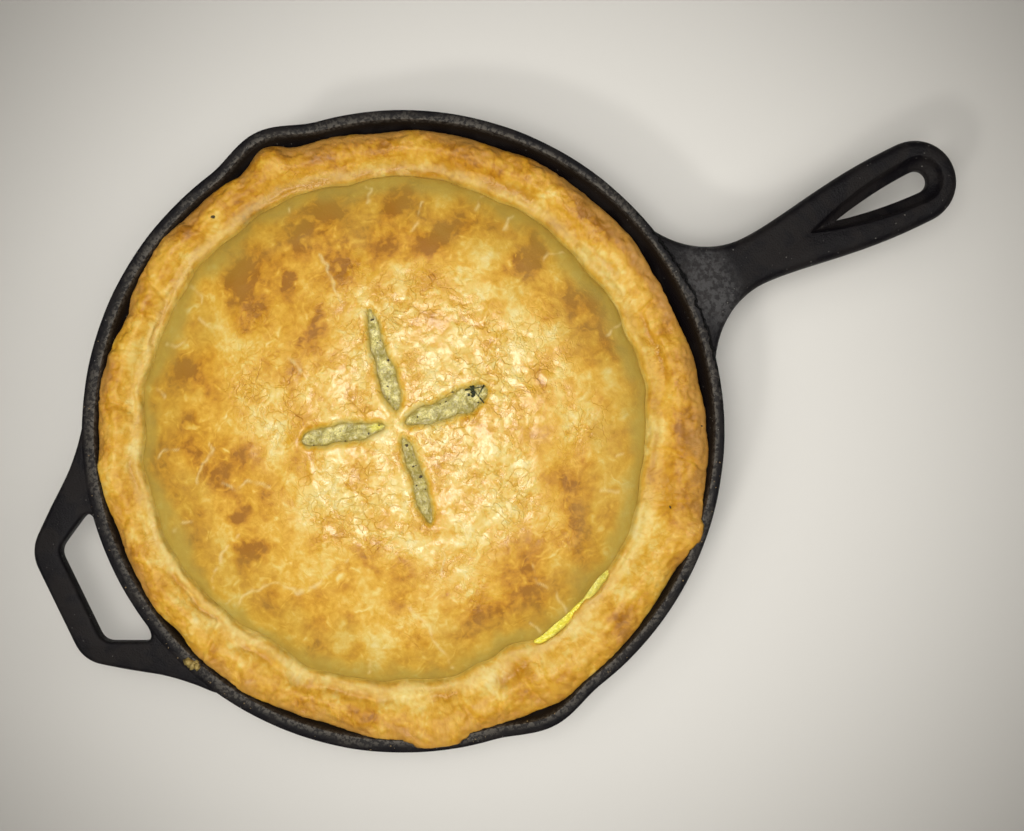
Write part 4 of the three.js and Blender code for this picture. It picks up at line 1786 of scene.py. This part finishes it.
@dataclass
class RolledEdge:
    """The thick edge of the crust between the groove and the skillet's wall."""

    form: CrustForm
    pan: PanForm
    steps: int = 1180
    points: int = 66
    tops: int = 50
    width: float = 25.0
    rise_height: float = 7.2
    dip: float = 9.0
    middle_radius: float = 132.0
    blank_radius: float = 100.0
    tube_radius: float = 20.0
    wall_gap: float = 0.35
    rim_inset: float = 2.6
    lobes: tuple[Arc, ...] = many(
        Arc,
        (-31, -20, 0.0, 7.5, 1.3), (-19.5, 4.5, 0.0, 8.2, 1.8), (5, 22.5, 0.0, 6.9, 1.7),
        (22, 33, 0.0, 9.0, 1.2), (37, 55, 0.4, 7.6, 1.6), (88, 99, 0.0, 2.6, 0.8), (93, 110, 1.2, 6.8, 1.1),
        (110, 125, 0.4, 6.6, 1.2), (128, 138, 3.4, 6.2, 1.2), (138, 151, 0.3, 3.9, 0.9),
        (152, 168, 0.0, 7.0, 1.3), (168, 185, 0.0, 6.4, 1.3), (184, 200, 0.0, 4.7, 1.4),
        (199, 209, 0.0, 8.3, 1.5), (207, 218, 0.0, 9.0, 1.6), (224, 240, 0.0, 7.8, 1.3),
        (239, 256, 0.0, 7.0, 1.4), (256, 275, 0.0, 10.2, 1.6), (300, 320, 0.0, 4.0, 1.3),
        (319, 335, 0.0, 8.6, 1.3),
    )
    channels: tuple[Arc, ...] = many(
        Arc,
        (-14, 1, 8.2, 11.6, 0.85), (9, 20, 7.0, 9.4, 0.45), (34, 48, 3.6, 9.0, 0.85), (54, 76, -0.6, 5.0, 0.70),
        (79, 96, 0.8, 4.6, 0.75), (120, 137, 2.6, 5.2, 0.50), (159, 167, 3.4, 6.6, 0.60),
        (184, 202, 4.2, 6.8, 0.70), (206, 216, 6.4, 10.4, 0.65), (217, 243, 5.8, 10.0, 0.65),
        (250, 257, 4.6, 9.2, 0.70), (264, 273, 8.0, 15.4, 0.95), (317, 325, 8.0, 18.0, 0.60),
        (322, 335, 2.4, 6.0, 0.55),
    )
    browned: tuple[Arc, ...] = many(
        Arc,
        (-18, 70, 17.0, 26.0, 0.32), (82, 97, 14.0, 25.0, 0.26), (101, 116, 13.0, 24.0, 0.32),
        (136, 153, 15.0, 25.0, 0.28), (171, 194, 15.0, 24.0, 0.20), (231, 245, 12.0, 23.0, 0.30),
        (287, 299, 13.0, 26.0, 0.22), (313, 327, 6.0, 26.0, 0.28),
    )
    folds: tuple[Crease, ...] = many(
        Crease,
        (257, 6.0, 0.9), (264, -4.0, 0.8), (270, 3.0, 0.9), (274, -2.0, 0.7), (319, 5.0, 0.8), (329, -5.0, 0.8),
        (109, 3.0, 0.7), (124, -4.0, 0.9), (130, 2.0, 0.9), (137, 3.0, 0.8), (149, -3.0, 0.9), (201, 4.0, 0.8),
        (219, -3.0, 0.8), (1, 3.0, 0.7), (34, -3.0, 0.7), (74, 3.0, 0.6),
    )
    laps: tuple[Fold, ...] = (Fold(90, 5, 0.0, 1.6), Fold(249, 15, 0.0, 2.1), Fold(314, 7, 0.0, 1.2))
    spread: tuple[float, ...] = (
        0.1, 1.7, 0.0, 0.2, 1.3, 0.0, 0.7, 0.6, 0.0, 1.8, 2.3, 2.7, 2.0, 1.9, 2.0, 0.6, 1.9, 1.8, 1.1, 0.8, 0.4,
        0.8, 0.9, 0.0, 0.4, 0.0, 0.0, 0.0, 1.9, 1.2, 2.6, 1.8, 1.9, 1.0, 1.4, 1.7, 1.8, 1.4, 0.9, 2.4, 3.3, 1.8,
        0.0, 0.2, 0.0,
    )

    def rise(self, across: Array) -> Array:
        """The edge's plain section: its height, from 0 in the groove to 1 at the crest.

        Args:
            across: Share of the way from the groove to the outer side.

        Returns:
            One height for each share.
        """
        ledge = 0.34 * ease(across, -0.06, 0.12)
        crest = 0.66 * ease(across, 0.16, 0.58)
        outer = np.maximum(1.0 - np.clip((across - 0.46) / 0.54, 0.0, 1.0) ** 2.6, 0.0) ** 0.56
        return (ledge + crest) * outer

    def shares(self) -> Array:
        """Shares of the way across at which the top's points lie, evenly along the section.

        Returns:
            The shares, from the groove outwards.
        """
        fine = np.linspace(-0.16, 1.0, 1400)
        height = self.rise_height * self.rise(fine) + self.dip * np.minimum(fine, 0.0)
        run = np.concatenate([[0.0], np.cumsum(np.hypot(self.width * np.diff(fine), np.diff(height)))])
        return np.interp(np.linspace(0.0, run[-1], self.tops), run, fine)

    def blank(self) -> Shape:
        """Spins a circle of points into a ring, whose every corner then gets its own place.

        Returns:
            The ring.
        """
        shape = bmesh.new()
        upright = Matrix.Translation((self.blank_radius, 0.0, 0.0)) @ Matrix.Rotation(math.pi / 2, 4, "X")
        tube = {"segments": self.points, "radius": self.tube_radius, "cap_ends": False, "matrix": upright}
        made = bmesh.ops.create_circle(shape, **tube)
        full_turn(shape, [*made["verts"], *shape.edges], self.steps)
        return shape

    def section(self, angle: Array, index: Array) -> tuple[Array, Array, Array]:
        """Where each corner of the blank goes on the plain edge.

        Args:
            angle: Angle of each corner.
            index: Number of each corner round its section.

        Returns:
            Radius, height and share of the way across.
        """
        form = self.form
        groove, low = form.groove_radius(angle), form.groove_height(angle)
        steps = np.linspace(0.0, 360.0, len(self.spread) + 1)
        outer = form.outer_radius(angle) + 0.9 + np.interp(angle, steps, [*self.spread, self.spread[0]])
        crest = form.crest_height(angle)
        across = self.shares()[np.minimum(index, self.tops - 1)]
        radius = groove + (outer - groove) * across
        height = low + (crest - low) * self.rise(across) + self.dip * np.minimum(across, 0.0)
        sides = self.points - self.tops
        beneath = np.clip((index - self.tops + 1) / sides, 0.0, 1.0)
        down = np.minimum(beneath / 0.6, 1.0)
        side_height = low + (form.skirt - low) * down
        back = np.clip((beneath - 0.6) / 0.4, 0.0, 1.0)
        inner_radius, inner_height = groove + 5.0, low - form.pastry - 4.0
        side_radius = outer + (inner_radius - outer) * back
        side_height = np.where(back > 0.0, form.skirt + (inner_height - form.skirt) * back, side_height)
        under = ((side_radius, radius), (side_height, height), (1.0 + beneath, across))
        return tuple(np.where(index >= self.tops, below, above) for below, above in under)

    def relief(self, where: Array, angle: Array, across: Array) -> Array:
        """How far each place stands out of the plain edge.

        Args:
            where: The places, one a row.
            angle: Their angles.
            across: Their shares of the way across.

        Returns:
            One height for each place.
        """
        form = self.form
        reach = polar(where)[0] - form.groove_radius(angle)
        outer_band = ease(across, 0.48, 0.72)
        wander = self.wander(where)
        height = 0.55 * lumps(where, 15.0, 2, 50.0)
        height += (0.30 + 0.45 * outer_band) * lumps(where, 6.0, 3, 53.0)
        inward = 1.0 - 0.8 * ease(across, 0.82, 0.98)
        height += inward * (0.34 + 0.10 * outer_band) * lumps(where, 3.2, 3, 56.0)
        height -= 0.50 * outer_band * creases(where, 9.0, 2, 60.0)
        height -= (0.14 + 0.24 * outer_band) * creases(where, 3.8, 2, 68.0)
        uneven = 0.75 + 0.6 * lumps(where, 13.0, 2, 69.0)
        for lobe in self.lobes:
            along = fall(lobe.along(angle + 0.6 * wander), 0.7, 1.05)
            height += lobe.amount * uneven * along * np.maximum(1.0 - lobe.across(reach + wander) ** 2, 0.0) ** 0.9
        height -= 1.2 * self.channel(angle, reach + wander, 0.85)
        for crease in self.folds:
            away = between(angle - crease.angle - crease.slant * (across - 0.5))
            away = np.radians(away) * self.middle_radius + 1.2 * lumps(where, 8.0, 2, crease.angle)
            body = ease(across, 0.1, 0.3)
            height -= body * crease.depth * bell(away / 1.2)
            height += body * 0.6 * crease.depth * bell((away - 3.0) / 2.4)
        for opening in form.splits:
            along = Arc(opening.start, opening.end, -1.0, 6.0, 1.0).along(angle)
            wide = (opening.width + 0.4 + 0.5 * wander) * (1.0 - 0.45 * along**2)
            height -= 3.2 * fall(along, 0.80, 1.10) * fall(reach, wide - 1.6, wide)
        height *= 1.0 - 0.6 * ease(across, 0.84, 0.98)
        for lap in self.laps:
            height += lap.up * hill(angle, lap.angle, lap.half_width) * ease(across, 0.50, 0.80)
        return height * (0.35 + 0.65 * ease(across, -0.1, 0.1))

    def wander(self, where: Array) -> Array:
        """How far lobes and furrows stray from their plain run at each place."""
        return 1.6 * lumps(where, 11.0, 2, 63.0) + 0.6 * lumps(where, 4.0, 2, 66.0)

    def channel(self, angle: Array, reach: Array, narrow: float) -> Array:
        """Where juice has caramelised in furrows along the edge.

        Args:
            angle: Angles of the places.
            reach: Their reach from the groove.
            narrow: Share of each furrow's width that is filled.

        Returns:
            The strongest furrow at each place, or 0.
        """
        deepest = np.zeros_like(angle)
        for arc in self.channels:
            along = fall(arc.along(angle), 0.6, 1.1)
            deepest = np.maximum(deepest, arc.amount * along * bell(arc.across(reach) / narrow))
        return deepest

    def build(self, finish: GlazedPastry, effects: Effects) -> Piece:
        """Builds and dresses the rolled edge.

        Args:
            finish: The pastry's finish.
            effects: The shared groups.

        Returns:
            The rolled edge.
        """
        shape = self.blank()
        blank = places(shape.verts)
        turn = np.arctan2(blank[:, 1], blank[:, 0])
        angle = np.degrees(turn) % 360.0
        round_section = np.arctan2(blank[:, 2], polar(blank)[0] - self.blank_radius)
        index = np.floor((np.pi - round_section) / (2 * np.pi) * self.points).astype(int) % self.points
        radius, height, across = self.section(angle, index)
        where = around(radius, turn, height)
        move_to(shape.verts, where)
        face_outwards(shape)
        shape.normal_update()
        normals = np.array([vert.normal[:] for vert in shape.verts])
        stand = self.relief(where, angle, across) * fall(across, 1.5, 1.8)
        where += normals * stand[:, None]
        move_to(shape.verts, self.fitted(where, angle))
        rolled = as_object(shape, "crust_edge")
        self.bake(rolled, angle, across)
        return complete(rolled, finish.material(effects), "crust")

    def fitted(self, where: Array, angle: Array) -> Array:
        """Keeps the edge off the skillet's wall, apart from where it laps over the rim.

        Args:
            where: The places, one a row.
            angle: Their angles.

        Returns:
            The places, moved where they were in the wall.
        """
        radius = polar(where)[0]
        wall = self.pan.inside(angle, np.minimum(where[:, 2], self.pan.height)) - self.wall_gap
        low = where[:, 2] < self.pan.height + 0.4
        rim = self.pan.outside(angle, np.full_like(radius, self.pan.height)) - self.rim_inset
        held = np.where(low, np.minimum(radius, wall), np.minimum(radius, rim))
        fitted = where.copy()
        fitted[:, :2] *= (held / radius)[:, None]
        return fitted

    def bake(self, rolled: Piece, angle: Array, across: Array) -> None:
        """Paints how the edge has browned, where juice has caramelised, and painted shade in the groove.

        Args:
            rolled: The rolled edge, in millimetres.
            angle: Angle of each vertex.
            across: Share of the way across of each vertex.
        """
        where = vertices(rolled)
        reach = polar(where)[0] - self.form.groove_radius(angle)
        flat = where * np.array([1.0, 1.0, 0.0])
        cloud = lumps(flat, 22.0, 4, 73.0)
        wander = self.wander(where)
        outer_band = ease(across + 0.22 * lumps(flat, 15.0, 3, 70.0), 0.50, 0.98)
        brown = 0.23 + 0.15 * outer_band + 0.26 * cloud + 0.18 * lumps(flat, 7.0, 3, 76.0)
        brown += 0.25 * hill(angle, 75.0, 80.0) + 0.09 * hill(angle, 340.0, 45.0)
        brown += 0.10 * ease(across, 0.28, 0.5)
        for arc in self.browned:
            brown += arc.amount * bell(np.hypot(arc.along(angle), arc.across(reach + 6.0 * cloud)) / 0.8)
        brown += 0.22 * ease(across, 1.0, 1.3)
        caramel = self.channel(angle, reach + wander, 0.9) * ease(lumps(flat, 4.0, 3, 79.0), -0.75, -0.05)
        pale = fall(np.abs(across - 0.16 + 0.12 * lumps(flat, 7.0, 2, 85.0)), 0.03, 0.14)
        tan = ease(across + 0.16 * lumps(flat, 9.0, 3, 88.0), 0.62, 0.90) * ease(cloud, -0.7, 0.1)
        paint(
            rolled,
            brown=brown,
            hairline=0.20 * pale * (1.0 - hill(angle, 345.0, 70.0)),
            tan=0.75 * tan * (1.0 - 0.55 * hill(angle, 290.0, 55.0)),
            # Olive at the groove: painted shade in the valley between lid and edge, together with the damp dough's
            # olive tint.
            olive=np.maximum(0.7 * fall(reach, 0.2, 1.8), 0.22 * fall(reach, 4.0, 9.0)),
            caramel=caramel,
            crease=np.maximum(outer_band * creases(where, 9.0, 2, 60.0), 0.8 * creases(where, 3.8, 2, 68.0)),
            glaze=0.15 + 0.45 * caramel + 0.25 * ease(lumps(flat, 16.0, 2, 82.0), 0.0, 0.4),
        )


# ----- filling


@dataclass
class Filling:
    """What fills the skillet below the lid and shows in the vents and the splits."""

    form: CrustForm
    pan: PanForm
    sink: float = 1.7
    foot: float = 47.0
    yolk: Point = (-8.5, 6.8)

    def body(self) -> Shape:
        """The filling below the lid.

        Returns:
            Its solid.
        """
        form, pan = self.form, self.pan
        gap = 0.4
        well, groove, floor = pan.base_radius - pan.wall, form.dome_radius, pan.floor + gap
        heights, shares = np.array([12.0, 22.0, 32.0]), np.array([0.9, 0.7, 0.45, 0.2, 0.0])
        base = [(0.0, floor), (well - 9, floor), (well - 3.4, floor + 2.6)]
        wall = zip(pan.inside(np.zeros(3), heights) - gap - 0.3, heights)
        under = zip(groove * shares, form.dome_height(np.zeros(5), shares) - form.pastry - 2.4)
        return spun([*base, *wall, (groove + 4, 32.5), (groove + 1, 42.0), *under], 96)

    def mound(self, columns: int, rows: int) -> Shape:
        """A fine grid at height 1 that a mound is shaped from, with a skirt down to height 0.

        Args:
            columns: Cells along it.
            rows: Cells across it.

        Returns:
            The plain solid.
        """
        shape = bmesh.new()
        raised = Matrix.Translation((0, 0, 1))
        bmesh.ops.create_grid(shape, x_segments=columns, y_segments=rows, size=1.0, matrix=raised)
        low, edges = extruded(shape, [edge for edge in shape.edges if edge.is_boundary])
        for vert in low:
            vert.co.z = 0.0
        bmesh.ops.edgeloop_fill(shape, edges=edges)
        return shape

    def shaped(self, mound: Shape, spot: Array, top: Array, foot: float) -> Shape:
        """Puts a mound's grid at its top and its skirt at its foot.

        Args:
            mound: The plain mound.
            spot: X and Y of each corner.
            top: Height of each corner, if it is in the grid.
            foot: Height of the skirt.

        Returns:
            The same mound.
        """
        height = np.where(places(mound.verts)[:, 2] > 0.5, top, foot)
        move_to(mound.verts, np.column_stack([spot[:, :2], height]))
        face_outwards(mound)
        return mound

    def vent_mound(self, vent: Vent) -> Shape:
        """The filling that has risen into one vent.

        Args:
            vent: The vent.

        Returns:
            The mound's solid.
        """
        form, mound = self.form, self.mound(84, 22)
        flat = places(mound.verts)
        start, end, unit, aside = vent.ways()
        share = (flat[:, 0] + 1.0) / 2.0
        half = vent.half_width(share) + 0.35
        spot = start - 0.4 * unit + np.outer(share, end - start + 0.8 * unit)
        spot += np.outer(flat[:, 1] * half + vent.drift(share), aside)
        plane = level(spot[:, 0], spot[:, 1])
        away, angle = polar(spot)
        top = form.dome_height(angle, away / form.groove_radius(angle)) - self.sink
        top += 0.9 * lumps(plane, 5.0, 3, 90.0) + 0.45 * lumps(plane, 1.8, 2, 93.0) - 0.5 * flat[:, 1] ** 4
        return self.shaped(mound, spot, top, self.foot)

    def split_mound(self, opening: Split) -> Shape:
        """The bright yellow filling that shows in one split.

        Args:
            opening: The split.

        Returns:
            The mound's solid.
        """
        form, mound = self.form, self.mound(60, 16)
        flat = places(mound.verts)
        angle = opening.start - 0.8 + (flat[:, 0] + 1.0) / 2.0 * (opening.end - opening.start + 1.6)
        taper = np.maximum(1.0 - flat[:, 0] ** 2, 0.03) ** 0.6
        radius = form.groove_radius(angle) + 1.1 + flat[:, 1] * (opening.width / 2 + 0.7) * taper
        turn = np.radians(angle)
        spot = around(radius, turn, np.zeros_like(turn))
        top = form.groove_height(angle) + 0.9 + 0.9 * lumps(spot, 3.0, 3, 96.0) - 1.1 * flat[:, 1] ** 4
        return self.shaped(mound, spot, top, self.foot - 5.0)

    def build(self, finish: CreamyFilling, effects: Effects) -> Piece:
        """Builds and dresses the filling.

        Args:
            finish: The filling's finish.
            effects: The shared groups.

        Returns:
            The filling.
        """
        filling = as_object(self.body(), "filling_body")
        mounds = [self.vent_mound(vent) for vent in self.form.vents]
        mounds += [self.split_mound(opening) for opening in self.form.splits]
        for index, mound in enumerate(mounds):
            carve(filling, as_object(mound, f"mound_{index}"), Carving.ADD)
        self.season(filling)
        return complete(filling, finish.material(effects), "filling")

    def season(self, filling: Piece) -> None:
        """Paints where the filling is yellow and where it lies in shade.

        Args:
            filling: The filling, in millimetres.
        """
        where = vertices(filling)
        x, y = where[:, 0], where[:, 1]
        radius, angle = polar(where)
        outside = ease(radius, 100.0, 106.0)
        inner_tip = fall(np.hypot(x - self.yolk[0], y - self.yolk[1]), 2.0, 6.5)
        paler = 1.0 - 0.45 * ease(angle % 360.0, 288.5, 291.0)
        off_middle = np.abs(radius - self.form.groove_radius(angle % 360.0) - 1.1)
        # Painted shade where the filling meets the crust: along the narrow -Y vent, down the sides of the splits and
        # inside each vent's edge.
        narrow_vent_edge = fall(self.form.vents[3].distance(x, y), -0.2, 0.6)
        rim = np.maximum(0.55 * outside * ease(off_middle, 0.9, 2.4), 0.42 * narrow_vent_edge)
        for vent in self.form.vents:
            inwards = -vent.distance(x, y) + 0.9 * lumps(where, 3.0, 2, 99.0)
            near = ease(inwards, -2.0, -0.4)
            rim = np.maximum(rim, 0.9 * near * fall(inwards, 0.1, 1.9))
        paint(filling, yellow=np.maximum(outside * paler, 0.55 * inner_tip), hollow=rim)


# ----- loose pieces


@dataclass
class LooseBits:
    """Crumbs, specks, a herb sprig and a flake of dough."""

    form: CrustForm
    pan: PanForm
    seed: int = 7
    flake_middle: Point = (-138.9, -54.4)
    flake_run: Point = (-0.37, 0.93)
    herb_middle: Point = (39.6, 2.2)
    burnt: tuple[tuple[float, float, float], ...] = ((-36.3, 130.9, 2.4), (98.2, -87.7, 1.6), (128.7, -59.9, 1.2))
    pits: tuple[tuple[float, float, float], ...] = (
        (29.7, 6.2, 2.0), (-29.8, 17.7, 1.7), (10.6, 53.4, 1.9), (-1.1, -22.9, 2.0), (-0.6, -6.9, 1.6),
        (12.7, 30.3, 1.2),
    )
    stalks: tuple[tuple[Point, Point], ...] = (
        ((35.3, 4.5), (45.0, 1.9)), ((40.0, -1.9), (41.3, -7.8)), ((38.2, 5.2), (40.0, -1.9)),
        ((44.4, 2.7), (39.6, -0.7)),
    )

    def dome_top(self, x: float, y: float) -> float:
        """Height of the plain dome at a place."""
        radius, angle = polar(np.array([[x, y]]))
        return float(self.form.dome_height(angle, radius / self.form.groove_radius(angle))[0])

    def pebble(
        self, shape: Shape, spot: Vector, size: float, flat: float, chance: random.Random, jag: float = 0.25
    ) -> None:
        """Adds one small irregular lump.

        Args:
            shape: The shape that gets it.
            spot: Its middle.
            size: Its width.
            flat: Its height as a share of its width.
            chance: Where its irregularity comes from.
            jag: How far its corners stray, as a share of its size.
        """
        turn = Matrix.Rotation(chance.uniform(0.0, math.tau), 4, "Z")
        squash = Matrix.Diagonal((size / 2, size / 2 * chance.uniform(0.55, 1.0), size / 2 * flat, 1.0))
        matrix = Matrix.Translation(spot) @ turn @ squash
        made = bmesh.ops.create_icosphere(shape, subdivisions=1, radius=1.0, matrix=matrix)["verts"]
        for vert in made:
            vert.co += (vert.co - spot) * chance.uniform(-jag, jag)

    def rim_flake(self, finish: PlainFinish) -> Piece:
        """A flake of dough stuck to the rim beside the helper handle.

        Args:
            finish: The flake's finish.

        Returns:
            The flake.
        """
        chance = random.Random(self.seed)
        shape = bmesh.new()
        (x, y), (run_x, run_y) = self.flake_middle, self.flake_run
        for _ in range(13):
            along, across = chance.gauss(0.0, 1.9), chance.gauss(0.0, 0.8)
            spot = Vector((x + run_x * along - run_y * across, y + run_y * along + run_x * across, 0.0))
            spot.z = self.pan.height + 0.3 + chance.uniform(0.0, 0.9)
            self.pebble(shape, spot, chance.uniform(1.8, 4.4), 0.3, chance, 0.6)
        return complete(as_object(shape, "rim_flake"), finish.material(), None)

    def crumbs(self, finish: PlainFinish) -> Piece:
        """Small crumbs along the rim.

        Args:
            finish: The crumbs' finish.

        Returns:
            The crumbs, as one piece.
        """
        chance = random.Random(self.seed + 1)
        shape = bmesh.new()
        for _ in range(46):
            turn = math.radians(chance.uniform(120.0, 330.0))
            radius = self.pan.rim_radius - self.pan.wall / 2 + chance.uniform(-1.6, 1.4)
            spot = Vector((radius * math.cos(turn), radius * math.sin(turn), self.pan.height + 0.2))
            self.pebble(shape, spot, chance.uniform(0.35, 0.9), 0.7, chance)
        return complete(as_object(shape, "rim_crumbs"), finish.material(), None)

    def herb(self, finish: PlainFinish) -> Piece:
        """The dark herb sprig that lies in the vent towards the long handle.

        Args:
            finish: The herb's finish.

        Returns:
            The sprig.
        """
        shape = bmesh.new()
        for index, (start, end) in enumerate(self.stalks):
            foot = Vector((*start, self.dome_top(*start) - 0.9 + 0.12 * index))
            tip = Vector((*end, self.dome_top(*end) - 0.7 + 0.12 * index))
            turn = (tip - foot).to_track_quat("Z", "Y").to_matrix().to_4x4()
            matrix = Matrix.Translation((foot + tip) / 2.0) @ turn
            size = {"radius1": 0.42, "radius2": 0.12, "depth": (tip - foot).length}
            bmesh.ops.create_cone(shape, cap_ends=True, segments=7, matrix=matrix, **size)
        chance = random.Random(self.seed + 3)
        for _ in range(6):
            x, y = chance.gauss(self.herb_middle[0], 1.7), chance.gauss(self.herb_middle[1], 1.1)
            self.pebble(shape, Vector((x, y, self.dome_top(x, y) - 0.8)), chance.uniform(1.2, 2.6), 0.3, chance, 0.7)
        return complete(as_object(shape, "herb_sprig"), finish.material(), None)

    def burnt_specks(self, finish: PlainFinish) -> Piece:
        """The few dark specks on the rolled edge and pepper in the vents.

        Args:
            finish: The specks' finish.

        Returns:
            The specks, as one piece.
        """
        chance = random.Random(self.seed + 2)
        shape = bmesh.new()
        for x, y, size in self.burnt:
            angle = np.array([math.degrees(math.atan2(y, x)) % 360.0])
            height = float(self.form.crest_height(angle)[0]) + 0.2
            self.pebble(shape, Vector((x, y, height)), size, 0.5, chance)
        for x, y, size in self.pits:
            self.pebble(shape, Vector((x, y, self.dome_top(x, y) - 1.0)), size, 0.35, chance, 0.35)
        for vent in self.form.vents:
            start, end = Vector((*vent.start, 0.0)), Vector((*vent.end, 0.0))
            aside = (end - start).normalized().cross(Vector((0, 0, 1)))
            for _ in range(5):
                share = chance.uniform(0.06, 0.94)
                width = float(vent.half_width(np.array([share]))[0])
                spot = start.lerp(end, share) + aside * width * chance.uniform(-0.9, 0.9)
                spot.z = self.dome_top(spot.x, spot.y) - 1.3 + chance.uniform(-0.3, 0.3)
                self.pebble(shape, spot, chance.uniform(0.5, 1.3), 0.7, chance)
        return complete(as_object(shape, "specks"), finish.material(), None)


# ----- studio


@dataclass
class Studio:
    """The floor, the lights and the camera."""

    camera_place: tuple[float, float, float] = (49.9, -15.9, 617.0)
    camera_turn: float = -26.0
    lens: float = 41.43
    ceiling_power: float = 9.0
    overhead_power: float = 2.15
    side_power: float = 4.7
    window_power: float = 95.0
    ambient: float = 0.02
    warmth: Colour = (1.0, 0.975, 0.92)

    def to_object_frame(self, right: float, up: float) -> tuple[float, float]:
        """Turns metres to the right and up in the picture into metres along X and Y."""
        turn = math.radians(self.camera_turn)
        return right * math.cos(turn) - up * math.sin(turn), right * math.sin(turn) + up * math.cos(turn)

    def hang(self, lamp: bpy.types.Light, right: float, up: float, height: float) -> Piece:
        """Hangs a light that points at the pie.

        Args:
            lamp: The light.
            right: Metres to the right in the picture.
            up: Metres up in the picture.
            height: Metres above the floor.

        Returns:
            The hung light.
        """
        lamp.color = self.warmth
        holder = bpy.data.objects.new(lamp.name, lamp)
        x, y = self.to_object_frame(right, up)
        holder.location = (x, y, height)
        middle = Vector((self.camera_place[0] * MM, self.camera_place[1] * MM, 0.0))
        holder.rotation_euler = (middle - holder.location).to_track_quat("-Z", "Y").to_euler()
        bpy.context.scene.collection.objects.link(holder)
        return holder

    def area(self, name: str, right: float, up: float, height: float, size: float, power: float) -> None:
        """Hangs a soft round light of a given width and power.

        Args:
            name: The light's name.
            right: Metres to the right in the picture.
            up: Metres up in the picture.
            height: Metres above the floor.
            size: Its width in metres.
            power: Its power in watts.
        """
        lamp = bpy.data.lights.new(name, "AREA")
        lamp.shape, lamp.size, lamp.energy = "DISK", size, power
        self.hang(lamp, right, up, height)

    def spot(self, name: str, right: float, up: float, height: float, size: float, power: float) -> None:
        """Hangs a light with a soft beam, which fades towards the corners of the picture.

        Args:
            name: The light's name.
            right: Metres to the right in the picture.
            up: Metres up in the picture.
            height: Metres above the floor.
            size: Its radius in metres.
            power: Its power in watts.
        """
        lamp = bpy.data.lights.new(name, "SPOT")
        lamp.shadow_soft_size, lamp.energy = size, power
        lamp.spot_size, lamp.spot_blend = math.radians(22.0), 1.0
        self.hang(lamp, right, up, height).visible_glossy = False

    def build(self) -> None:
        """Lays the floor, hangs the lights and sets the camera."""
        shape = bmesh.new()
        bmesh.ops.create_grid(shape, x_segments=2, y_segments=2, size=3000.0)
        floor = as_object(shape, "floor")
        floor.data.transform(Matrix.Scale(MM, 4))
        floor.data.materials.append(PaleFloor((self.camera_place[0] * MM, self.camera_place[1] * MM)).material())
        floor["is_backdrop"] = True
        self.area("ceiling_light", -0.14, -0.10, 1.3, 1.6, self.ceiling_power)
        self.area("overhead_light", 0.0, 0.0, 0.75, 0.28, self.overhead_power)
        self.area("side_light", 1.2, 0.3, 1.5, 1.0, self.side_power)
        self.spot("window_light", -1.6, -1.85, 3.0, 0.26, self.window_power)
        world = bpy.data.worlds.new("studio")
        world.use_nodes = True
        kit = NodeKit(world.node_tree)
        light = kit.add("ShaderNodeBackground", {0: (1.0, 0.98, 0.95, 1.0), 1: self.ambient})
        kit.add("ShaderNodeOutputWorld", {0: light.outputs[0]})
        bpy.context.scene.world = world
        camera = bpy.data.cameras.new("camera")
        camera.lens = self.lens
        camera.sensor_width = 36.0
        camera.clip_start, camera.clip_end = 0.01, 10.0
        stand = bpy.data.objects.new("camera", camera)
        stand.location = [c * MM for c in self.camera_place]
        stand.rotation_euler = (0.0, 0.0, math.radians(self.camera_turn))
        bpy.context.scene.collection.objects.link(stand)
        bpy.context.scene.camera = stand
        bpy.context.scene.view_settings.view_transform = "Standard"


def corners() -> list[list[float]]:
    """The shown object's lowest and highest corners, in metres."""
    return [[round(value, 5) for value in corner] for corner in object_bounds()]


def main() -> None:
    """Builds the pie, its skillet and the studio."""
    logging.basicConfig(level=logging.INFO, format="%(message)s")
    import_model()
    effects = Effects.build()
    pan, crust = PanForm(), CrustForm()
    Skillet(pan).build(SeasonedIron(), effects)
    DomedLid(crust).build(GlazedPastry(), effects)
    edge_look = {"shiny": 0.34, "coat": 0.2, "specular": 0.52, "mottle": 0.6, "crease_tint": 0.26, "fibres": 0.0003}
    RolledEdge(crust, pan).build(GlazedPastry("edge_pastry", **edge_look), effects)
    Filling(crust, pan).build(CreamyFilling(), effects)
    bits = LooseBits(crust, pan)
    bits.rim_flake(PlainFinish("dough_flake", (0.40, 0.29, 0.085), (0.22, 0.16, 0.045)))
    bits.crumbs(PlainFinish("crumb", (0.30, 0.21, 0.10), (0.12, 0.08, 0.04)))
    bits.herb(PlainFinish("herb", (0.050, 0.062, 0.022), (0.022, 0.028, 0.010)))
    bits.burnt_specks(PlainFinish("burnt", (0.045, 0.034, 0.016), (0.09, 0.06, 0.022)))
    Studio().build()


if __name__ == "__main__":
    main()
